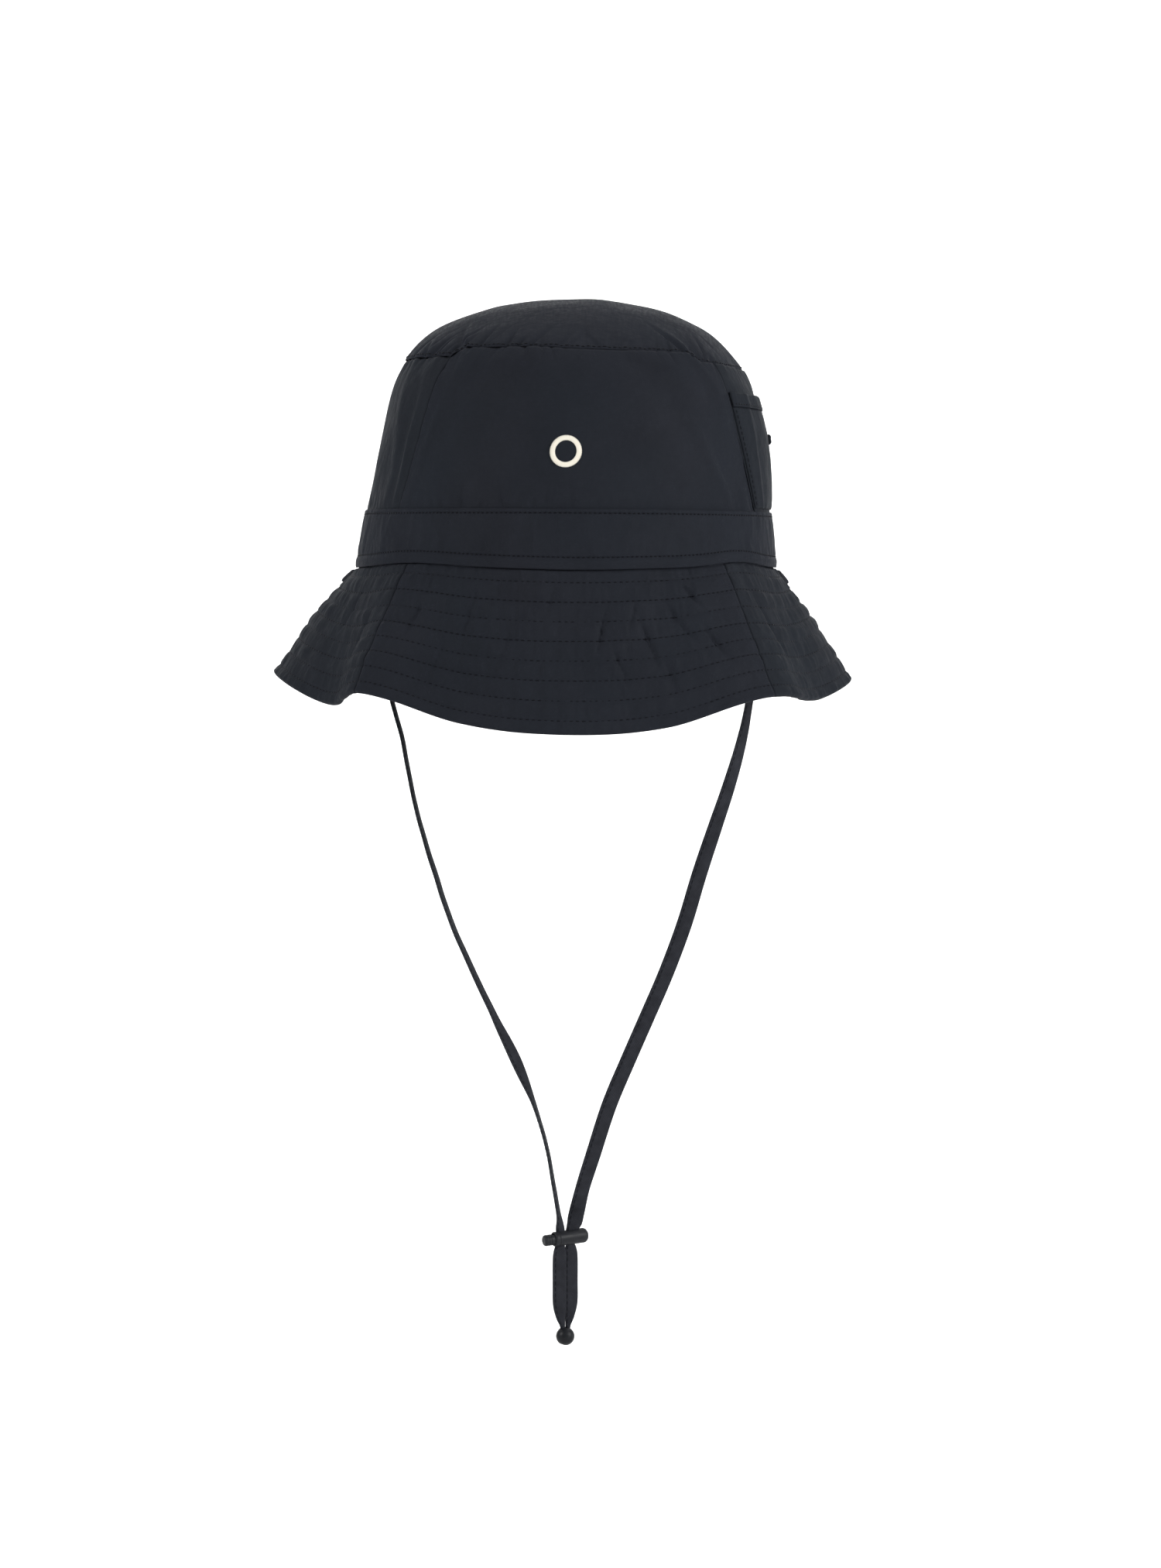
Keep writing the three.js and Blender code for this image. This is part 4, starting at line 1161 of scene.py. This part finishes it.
def add_band():
    rows = np.concatenate([np.linspace(BAND_FOOT_Z, 6, 18), np.linspace(6, 20.5, 18)[1:], np.linspace(20.5, BAND_HEIGHT, 12)[1:]])
    azimuth, z = np.meshgrid(np.linspace(0, 360, 660, endpoint=False), rows, indexing="ij")
    point, normal, relief = band_face(azimuth, z)
    outer, inner = pair_of_skins(point, normal, relief, CLOTH)
    uv = np.stack([np.radians(azimuth) * CROWN_OUTLINE[0, 0], z], axis=-1)
    band = shell("band", outer, inner, uv, shell_cloth, wrap=True)
    threads = []
    for row in BAND_ROWS_Z:
        around = np.linspace(0, 360, 1000)
        point, normal, relief = band_face(around, row)
        threads.append(row_of_stitches(point + normal * relief[:, None], normal, 2.1, 1.45, 0.12))
    sew(band, threads, (1.45, 0.27), dark_thread)
    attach(band, "hat")
    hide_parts("crown_band")


def add_linings():
    rows = np.linspace(1, 90.6, 64)
    azimuth, z = np.meshgrid(np.linspace(0, 360, 360, endpoint=False), rows, indexing="ij")
    point, normal = crown(azimuth, share_at(z))
    ring = azimuth / 360
    relief = LINING_OFFSET - 0.12 + 0.14 * noise(ring * 60, z / 14, 401, 60)
    outer, inner = pair_of_skins(point, normal, relief, 0.4)
    uv = np.stack([np.radians(azimuth) * 88, z], axis=-1)
    wall = shell("lining_sides", outer, inner, uv, lining_cloth, wrap=True)
    azimuth, radius = disc(110)
    share = TIP_SHARE + SEAM_SHARE + (1 - TIP_SHARE - SEAM_SHARE) * (1 - radius)
    point, normal = crown(azimuth, share)
    inside = (share - TIP_SHARE) * outline_length
    ring = np.mod(azimuth, 360) / 360
    relief = LINING_OFFSET - 0.12 + 0.12 * noise(point[..., 0] / 16 + 9, point[..., 1] / 16 + 9, 402)
    relief = relief + 0.14 * np.exp(-inside / 7) * noise(ring * 70, 0 * ring, 403, 70)
    outer, inner = pair_of_skins(point, normal, relief, 0.4)
    tip = shell("lining_top", outer, inner, point[..., :2], lining_cloth)
    around = np.linspace(0, 360, 600)
    point, normal = crown(around, share_at(89.4))
    line = point + normal * (LINING_OFFSET - 0.62)
    sew(wall, [row_of_stitches(line, -normal, 2.4, 1.7, 0)], (1.7, 0.18), dark_thread)
    for piece, node in ((wall, "lining_wall"), (tip, "lining_tip")):
        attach(piece, "hat")
        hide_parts(node)


def add_sweatband():
    """A knitted band inside the opening, folded at its foot and sewn along its head."""
    bottom, top = 0.6, 25
    rows = np.linspace(bottom, top, 30)
    azimuth, z = np.meshgrid(np.linspace(0, 360, 480, endpoint=False), rows, indexing="ij")
    ring = azimuth / 360

    def face(ring, z):
        return (SWEATBAND_OFFSET + 0.15 * noise(ring * 34, z / 9, 411, 34) - 0.25 * bump(z - top + 2.5, 0.7)
                + 0.25 * bump(z - top, 0.8) + 0.2 * bump(z - bottom, 0.9))

    point, normal = crown(azimuth, share_at(z))
    relief = face(ring, z)
    thick = 0.95 * np.clip(np.minimum(z - bottom, top - z) / 0.9, 0.35, 1) ** 0.5
    outer = point + normal * relief[..., None]
    inner = outer - normal * thick[..., None]
    uv = np.stack([np.radians(azimuth) * 88, z], axis=-1)
    band = shell("sweatband_knit_band", outer, inner, uv, sweatband_knit, wrap=True)
    threads = []
    around = np.linspace(0, 360, 900)
    for height in (bottom + 1.8, top - 2.5):
        point, normal = crown(around, share_at(height))
        line = point + normal * (face(around / 360, height + 0 * around) - 0.95)[:, None]
        threads.append(row_of_stitches(line, -normal, 2.6, 1.9, 0.06))
    sew(band, threads, (1.9, 0.2), dark_thread)
    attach(band, "hat")
    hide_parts("sweatband")


LABEL = {"width": 30, "bottom": 30, "top": 47, "azimuth": 180}


def add_label():
    """A blank satin label sewn inside the back."""
    half = degrees_of(LABEL["width"] / 2, LABEL["azimuth"])

    def face(azimuth, z):
        point, normal = crown(azimuth, share_at(z))
        u = (azimuth - LABEL["azimuth"]) / half
        wave = 0.16 * noise(u * 2 + 5, z / 8, 421) + 0.12 * u * u
        return point, normal, -2.35 - wave

    azimuth, z = np.meshgrid(LABEL["azimuth"] + half * np.linspace(-1, 1, 44),
                             np.linspace(LABEL["bottom"], LABEL["top"], 26), indexing="ij")
    point, normal, relief = face(azimuth, z)
    outer, inner = pair_of_skins(point, normal, relief, 0.3)
    uv = np.stack([(azimuth - LABEL["azimuth"]) / half * LABEL["width"] / 2, z], axis=-1)
    label = shell("blank_label", outer, inner, uv, label_satin)
    threads = []
    inset = 1 - 1.2 / (LABEL["width"] / 2)
    for a0, z0, a1, z1 in ((-inset, LABEL["bottom"] + 1.2, inset, LABEL["bottom"] + 1.2),
                           (-inset, LABEL["top"] - 1.2, inset, LABEL["top"] - 1.2),
                           (-inset, LABEL["bottom"] + 1.2, -inset, LABEL["top"] - 1.2),
                           (inset, LABEL["bottom"] + 1.2, inset, LABEL["top"] - 1.2)):
        around, up = LABEL["azimuth"] + half * np.linspace(a0, a1, 60), np.linspace(z0, z1, 60)
        point, normal, relief = face(around, up)
        line = point + normal * (relief - 0.3)[:, None]
        threads.append(row_of_stitches(line, -normal, 2.2, 1.5, 0.02))
    sew(label, threads, (1.5, 0.16), cream_thread)
    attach(label, "hat")
    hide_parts("care_label")


def add_emblem():
    """A plain ring of radial satin stitches over an underlay."""
    middle = (EMBLEM["outer"] + EMBLEM["inner"]) / 2
    width = EMBLEM["outer"] - EMBLEM["inner"]

    def on_front(turn, radius):
        a, radius = np.broadcast_arrays(np.radians(turn), radius)
        z = EMBLEM["z"] + np.cos(a) * radius
        narrower = CROWN_OUTLINE[0, 0] / np.interp(EMBLEM["z"], outline[:, 1], outline[:, 0])
        azimuth = EMBLEM["azimuth"] + np.sin(a) * radius * narrower * degrees_of(1, EMBLEM["azimuth"])
        share = share_at(z)
        v = (share - SEAM_SHARE) / (tip_seam(azimuth) - 2 * SEAM_SHARE)
        (start_low, start_high), (end_low, end_high) = WALL_PANELS["front"]
        start = start_low + (start_high - start_low) * v + SEAM_ANGLE
        end = end_low + (end_high - end_low) * v - SEAM_ANGLE
        point, normal, relief = wall_face("front", (azimuth - start) / (end - start), v)
        return point, normal, relief

    turn, radius = np.meshgrid(np.arange(0, 360, 4), np.linspace(EMBLEM["inner"] + 0.2, EMBLEM["outer"] - 0.2, 7),
                               indexing="ij")
    point, normal, relief = on_front(turn, radius)
    crowned = 0.42 - 0.30 * ((radius - middle) / (width / 2)) ** 2
    outer = point + normal * (relief + crowned)[..., None]
    inner = point + normal * (relief + 0.04)[..., None]
    uv = np.stack([turn * 0.1, radius], axis=-1)
    ring = shell("front_ring", outer, inner, uv, cream_thread, wrap=True)
    turns = np.arange(0, 360, 360 / 84)
    point, normal, relief = on_front(turns, middle)
    ahead, _, _ = on_front(turns, middle + 0.5)
    behind, _, _ = on_front(turns, middle - 0.5)
    threads = (point + normal * (relief + 0.38)[:, None], ahead - behind, normal)
    sew(ring, [threads], (width + 0.3, 0.24), cream_thread)
    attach(ring, "hat")
    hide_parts("front_emblem")


# ------------------------------------------------------------------ pocket


def pocket_face(u, z, seed=501):
    """Points, directions and relief of the pocket: slack folds that hang from its mouth."""
    u, z = np.broadcast_arrays(np.asarray(u, float), np.asarray(z, float))
    point, normal = pocket(u, z)
    across = u * 88
    up = (z - POCKET["bottom"]) / (POCKET["mouth"] - POCKET["bottom"])
    slack = np.clip(np.sin(np.pi * u), 0, 1) ** 0.5
    relief = 0.55 * noise(across / 15 + 3, z / 26, seed) * slack + 0.25 * noise(across / 6, z / 15, seed + 1) * slack
    relief = relief + puckers(across, z, 7, 6, 0.7, seed + 2, 0.7) + puckers(88 - across, z, 7, 6, 0.6, seed + 3, 0.7)
    relief = relief + puckers(z - POCKET["bottom"], across, 5.5, 4, 0.4, seed + 4)
    relief = relief + 0.5 * bump(across - 7 - 5 * up, 1.8) - 0.3 * bump(across - 11 - 6 * up, 2)
    from_side = np.minimum(across, 88 - across)
    return point, normal, CLOTH + not_below(relief * smooth(from_side, 0, 3), -0.12) - 0.5 * bump(from_side, 1.1)


def add_pocket():
    bottom, mouth, hem = POCKET["bottom"], POCKET["mouth"], POCKET["hem"]
    u, z = np.meshgrid(np.linspace(0, 1, 96), np.linspace(bottom, mouth - hem - 0.15, 50), indexing="ij")
    point, normal, relief = pocket_face(u, z)
    relief = relief - 0.25 * bump(z - bottom, 0.6)
    outer = point + normal * relief[..., None]
    to_wall = 0.4 * bump(np.minimum(u, 1 - u) * 88, 1.2)
    inner = outer - normal * (0.45 + to_wall)[..., None]
    panel = shell("pocket_bag", outer, inner, np.stack([u * 88, z], axis=-1), side_cloth)
    threads = []
    for v in (0.014, 0.986):
        up = np.linspace(bottom + 1, mouth - hem - 1, 120)
        point, normal, relief = pocket_face(v + 0 * up, up)
        threads.append(row_of_stitches(point + normal * relief[:, None], normal, 2.3, 1.7, 0.06))
    sew(panel, threads, (1.7, 0.19), dark_thread)
    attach(panel, "hat")
    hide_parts("pocket_panel")

    u, z = np.meshgrid(np.linspace(0, 1, 96), np.linspace(mouth - hem, mouth, 14), indexing="ij")
    point, normal, relief = pocket_face(u, z)
    relief = relief + 0.55
    thick = 1.05 * np.clip((mouth - z) / 0.55, 0.2, 1) ** 0.5
    outer = point + normal * (relief - 0.5 * (1.05 - thick))[..., None]
    inner = outer - normal * thick[..., None]
    roll = shell("pocket_mouth_hem", outer, inner, np.stack([u * 88, z], axis=-1), side_cloth)
    across = np.linspace(0.01, 0.99, 300)
    point, normal, relief = pocket_face(across, mouth - hem + 1.0)
    line = point + normal * (relief + 0.55)[:, None]
    sew(roll, [row_of_stitches(line, normal, 2.3, 1.7, 0.06)], (1.7, 0.19), dark_thread)
    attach(roll, "hat")
    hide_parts("pocket_hem")


TAB = {"width": 11, "bottom": 54, "top": 58.5, "thickness": 1.1}


def add_pocket_tab():
    """A plain folded tab, sewn at both ends."""
    half = degrees_of(TAB["width"] / 2, 90) / 62
    u, z = np.meshgrid(0.5 + half * np.linspace(-1, 1, 30), np.linspace(TAB["bottom"], TAB["top"], 14), indexing="ij")
    point, normal, relief = pocket_face(u, z)
    rim = np.minimum(np.minimum(z - TAB["bottom"], TAB["top"] - z), (half - np.abs(u - 0.5)) * 88)
    thick = TAB["thickness"] * np.clip(rim / 0.6, 0.2, 1) ** 0.5
    base = point + normal * (relief + 0.1)[..., None]
    tab = shell("pocket_side_tab", base + normal * thick[..., None], base, np.stack([u * 88, z], axis=-1), side_cloth)
    threads = []
    for side in (-1, 1):
        up = np.linspace(TAB["bottom"] + 0.5, TAB["top"] - 0.5, 20)
        point, normal, relief = pocket_face(0.5 + side * (half - 1.2 / 88) + 0 * up, up)
        line = point + normal * (relief + 0.1 + TAB["thickness"])[:, None]
        threads.append(row_of_stitches(line, normal, 1.3, 1.0, 0.02))
    sew(tab, threads, (1.0, 0.12), dark_thread)
    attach(tab, "hat")
    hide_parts("pocket_tab")


# ------------------------------------------------------------------ brim

BRIM_SECTORS = {"front": (-47, 47), "right": (47, 133), "back": (133, 227), "left": (227, 313)}
BRIM_DEPTH = 69
FIRST_ROW = 5.3
ROW_PITCH = 8.3
RIM_SHARE = 0.021
SLOT_SHARES = [SLOT["near"] / brim_width(np.array(90.0)), SLOT["far"] / brim_width(np.array(90.0))]
BRIM_SHARES = np.concatenate([
    [-0.011, -0.004, 0.004, 0.012], np.linspace(*SLOT_SHARES, 12), np.linspace(SLOT_SHARES[1], 1 - RIM_SHARE, 66)[1:],
    1 - RIM_SHARE * (1 - np.sin(np.radians([18, 36, 54, 70, 84]))),
])


# Long creases across the rows: azimuth, how far down the brim, reach, lean, width and depth.
BRIM_CREASES = (
    (9, 26, 9, 0.25, 1.2, 1.3), (13, 40, 8, -0.4, 1.3, 1.1), (17, 20, 7, 0.3, 1.2, 1.0), (21, 33, 12, -0.35, 1.4, 1.4),
    (25, 46, 8, -0.3, 1.2, 1.0), (29, 24, 9, -0.55, 1.3, 1.2), (33, 12, 7, -0.6, 1.2, 1.2), (37, 38, 10, -0.4, 1.4, 1.2),
    (-4, 14, 6, 0.3, 1.0, 0.7), (-15, 34, 9, 0.3, 1.1, 0.7), (-24, 20, 8, 0.2, 1.1, 0.8), (-31, 44, 9, 0.3, 1.2, 0.8),
    (-38, 26, 10, 0.2, 1.2, 1.0), (-55, 34, 12, 0.2, 1.3, 1.0), (-66, 22, 10, 0.3, 1.2, 0.9), (57, 30, 12, -0.3, 1.3, 1.0),
    (150, 30, 12, 0.3, 1.3, 1.0), (176, 22, 9, -0.3, 1.2, 0.9), (205, 36, 11, 0.3, 1.3, 1.0), (118, 36, 10, 0.3, 1.2, 0.8),
)


def brim_face(azimuth, share, side, sector):
    """Points and outward directions of the brim's upper (side 1) or under (side -1) face."""
    azimuth, share = np.broadcast_arrays(np.asarray(azimuth, float), np.asarray(share, float))
    point, normal = brim(azimuth, share)
    point[..., 2] += foot_wave(azimuth) * (1 - smooth(share, 0, 0.5))
    ring = np.mod(azimuth, 360) / 360
    down = share * BRIM_DEPTH
    start, end = BRIM_SECTORS[sector]
    from_seam = np.minimum(azimuth - start, end - azimuth) * math.pi / 180 * (90 + 0.5 * down)
    sway = 0.8 * noise(ring * 24, down / 26, 601, 24) + 0.5 * noise(ring * 60, down / 18, 602, 60)
    sway = sway * smooth(down, 1, 14)
    k = (down - FIRST_ROW) / ROW_PITCH
    lane = np.floor(k)
    puff = np.abs(np.sin(np.pi * k)) ** 0.7
    seed = 610 if side > 0 else 620
    fine = 0.5 - np.sqrt(np.abs(noise(ring * 170, k * 0.45 + 30, seed, 170)))
    own = 0.5 - np.sqrt(np.abs(noise(ring * 230, lane * 3.7 + 40, seed + 1, 230)))
    coarse = noise(ring * 96, lane * 2.3 + k * 0.3 + 50, seed + 2, 96)
    relief = puff * (0.34 + 0.66 * fine + 0.42 * own + 0.42 * coarse)
    row = np.clip(np.round(k), 0, BRIM_ROWS - 1)
    relief = relief - 0.3 * bump((k - row) * ROW_PITCH, 0.6)
    relief = relief - 0.1 * bump(from_seam, 0.5)
    for place, middle, reach, lean, width, depth in BRIM_CREASES:
        away = np.radians(np.mod(azimuth - place + 180, 360) - 180) * (90 + 0.5 * down) + lean * (down - middle)
        relief = relief - 1.4 * depth * np.exp(-np.abs(away) / width - ((down - middle) / reach) ** 2)
    round_back = smooth(np.mod(azimuth, 360), 84, 87) * (1 - smooth(np.mod(azimuth, 360), 273, 276))
    under_strap = round_back * (1 - smooth(down, 11.5, 14)) if side > 0 else 0 * down
    relief = np.where(relief > 0, relief * (1 - under_strap), relief)
    sway = sway * (1 - round_back * (1 - smooth(down, 11.5, 16)))
    rim = np.clip((1 - share) / RIM_SHARE, 0, 1)
    full = np.sqrt(1 - (1 - rim) ** 2)
    full = full * (0.85 + 0.15 * smooth(from_seam, 0, 0.6)) * (0.6 + 0.4 * smooth(down, 0, 0.8))
    half = BRIM_THICKNESS / 2
    offset = sway - half + side * full * (half + relief)
    return point + normal * offset[..., None], normal * side


def sector_columns(start, end, pitch=0.5):
    """Azimuths across a brim sector, with columns exactly on the edges of its slot."""
    stops = [start, end]
    for slot in SLOT["azimuths"]:
        if start < slot < end:
            half = degrees_of(SLOT["width"] / 2, slot)
            stops[1:1] = [slot - half, slot + half]
    parts = [np.linspace(a, b, max(int((b - a) / pitch), 3) + 1)[:-1] for a, b in zip(stops, stops[1:])]
    return np.concatenate([*parts, [stops[-1]]])


def add_brim():
    for sector, (start, end) in BRIM_SECTORS.items():
        columns = sector_columns(start, end)
        azimuth, share = np.meshgrid(columns, BRIM_SHARES, indexing="ij")
        upper, _ = brim_face(azimuth, share, 1, sector)
        under, _ = brim_face(azimuth, share, -1, sector)
        middle_azimuth = (columns[1:] + columns[:-1]) / 2
        middle_share = (BRIM_SHARES[1:] + BRIM_SHARES[:-1]) / 2
        half = degrees_of(SLOT["width"] / 2, SLOT["azimuths"][0])
        in_slot = np.any([np.abs(middle_azimuth - slot) < half for slot in SLOT["azimuths"]], axis=0)
        in_reach = (middle_share > SLOT_SHARES[0]) & (middle_share < SLOT_SHARES[1])
        present = ~(in_slot[:, None] & in_reach[None, :])
        uv = np.stack([np.radians(azimuth) * 110, share * BRIM_DEPTH], axis=-1)
        cloth = side_cloth if sector in ("right", "left") else shell_cloth
        piece = shell(f"brim_{sector}", upper, under, uv, cloth, present=present)
        sew(piece, brim_threads(sector, start, end), (1.75, 0.26), dark_thread)
        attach(piece, "hat")
        replaced = [f"brim_upper_{sector}", f"brim_under_{sector}"]
        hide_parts(*replaced, *(["brim_interlining"] if sector == "front" else []))


def brim_threads(sector, start, end):
    """Rows of stitches on both faces, and a buttonhole stitched round the slot."""
    threads = []
    around = np.linspace(start + 0.25, end - 0.25, 400)
    for row in range(BRIM_ROWS):
        share = (FIRST_ROW + ROW_PITCH * row) / BRIM_DEPTH
        for side in (1, -1):
            line, normal = brim_face(around, share, side, sector)
            middle, along, up = row_of_stitches(line, normal, 2.6, 1.7, 0.1)
            clear = np.ones(len(middle), bool)
            if row == 0:
                turn = np.mod(np.degrees(np.arctan2(middle[:, 0] * CROWN_DEPTH_RATIO, -middle[:, 1])), 360)
                clear = np.all([np.abs(turn - slot) > 2.6 for slot in SLOT["azimuths"]], axis=0)
            threads.append((middle[clear], along[clear], up[clear]))
    for slot in SLOT["azimuths"]:
        if start < slot < end:
            threads += [buttonhole(slot, side, sector) for side in (1, -1)]
    return threads


def buttonhole(slot, side, sector):
    """Stitches across the two long edges and the two ends of a slot."""
    half = degrees_of(SLOT["width"] / 2 + 0.7, slot)
    reach = 0.7 / brim_width(np.array(90.0))
    low, high = SLOT_SHARES[0] - reach * 0.2, SLOT_SHARES[1] + reach
    shares = np.linspace(low, high, 22)
    ends = np.linspace(-half, half, 7)[1:-1]
    azimuth = np.concatenate([slot - half + 0 * shares, slot + half + 0 * shares, slot + ends, slot + ends])
    share = np.concatenate([shares, shares, high + 0 * ends, low + 0 * ends])
    middle, normal = brim_face(azimuth, share, side, sector)
    across, _ = brim_face(azimuth + 0.2, share, side, sector)
    down, _ = brim_face(azimuth, share + 0.004, side, sector)
    along = across - middle
    along[2 * len(shares):] = (down - middle)[2 * len(shares):]
    return middle + normal * 0.05, along, normal


# ------------------------------------------------------------------ making the hat

add_strap_back()
barrel, bead = add_barrel(), add_bead()
plunger = add_plunger()
add_strap_runs()
add_spring()
add_tip()
add_wall_panels()
add_band()
add_pocket()
add_pocket_tab()
add_emblem()
add_brim()
add_linings()
add_sweatband()
add_label()
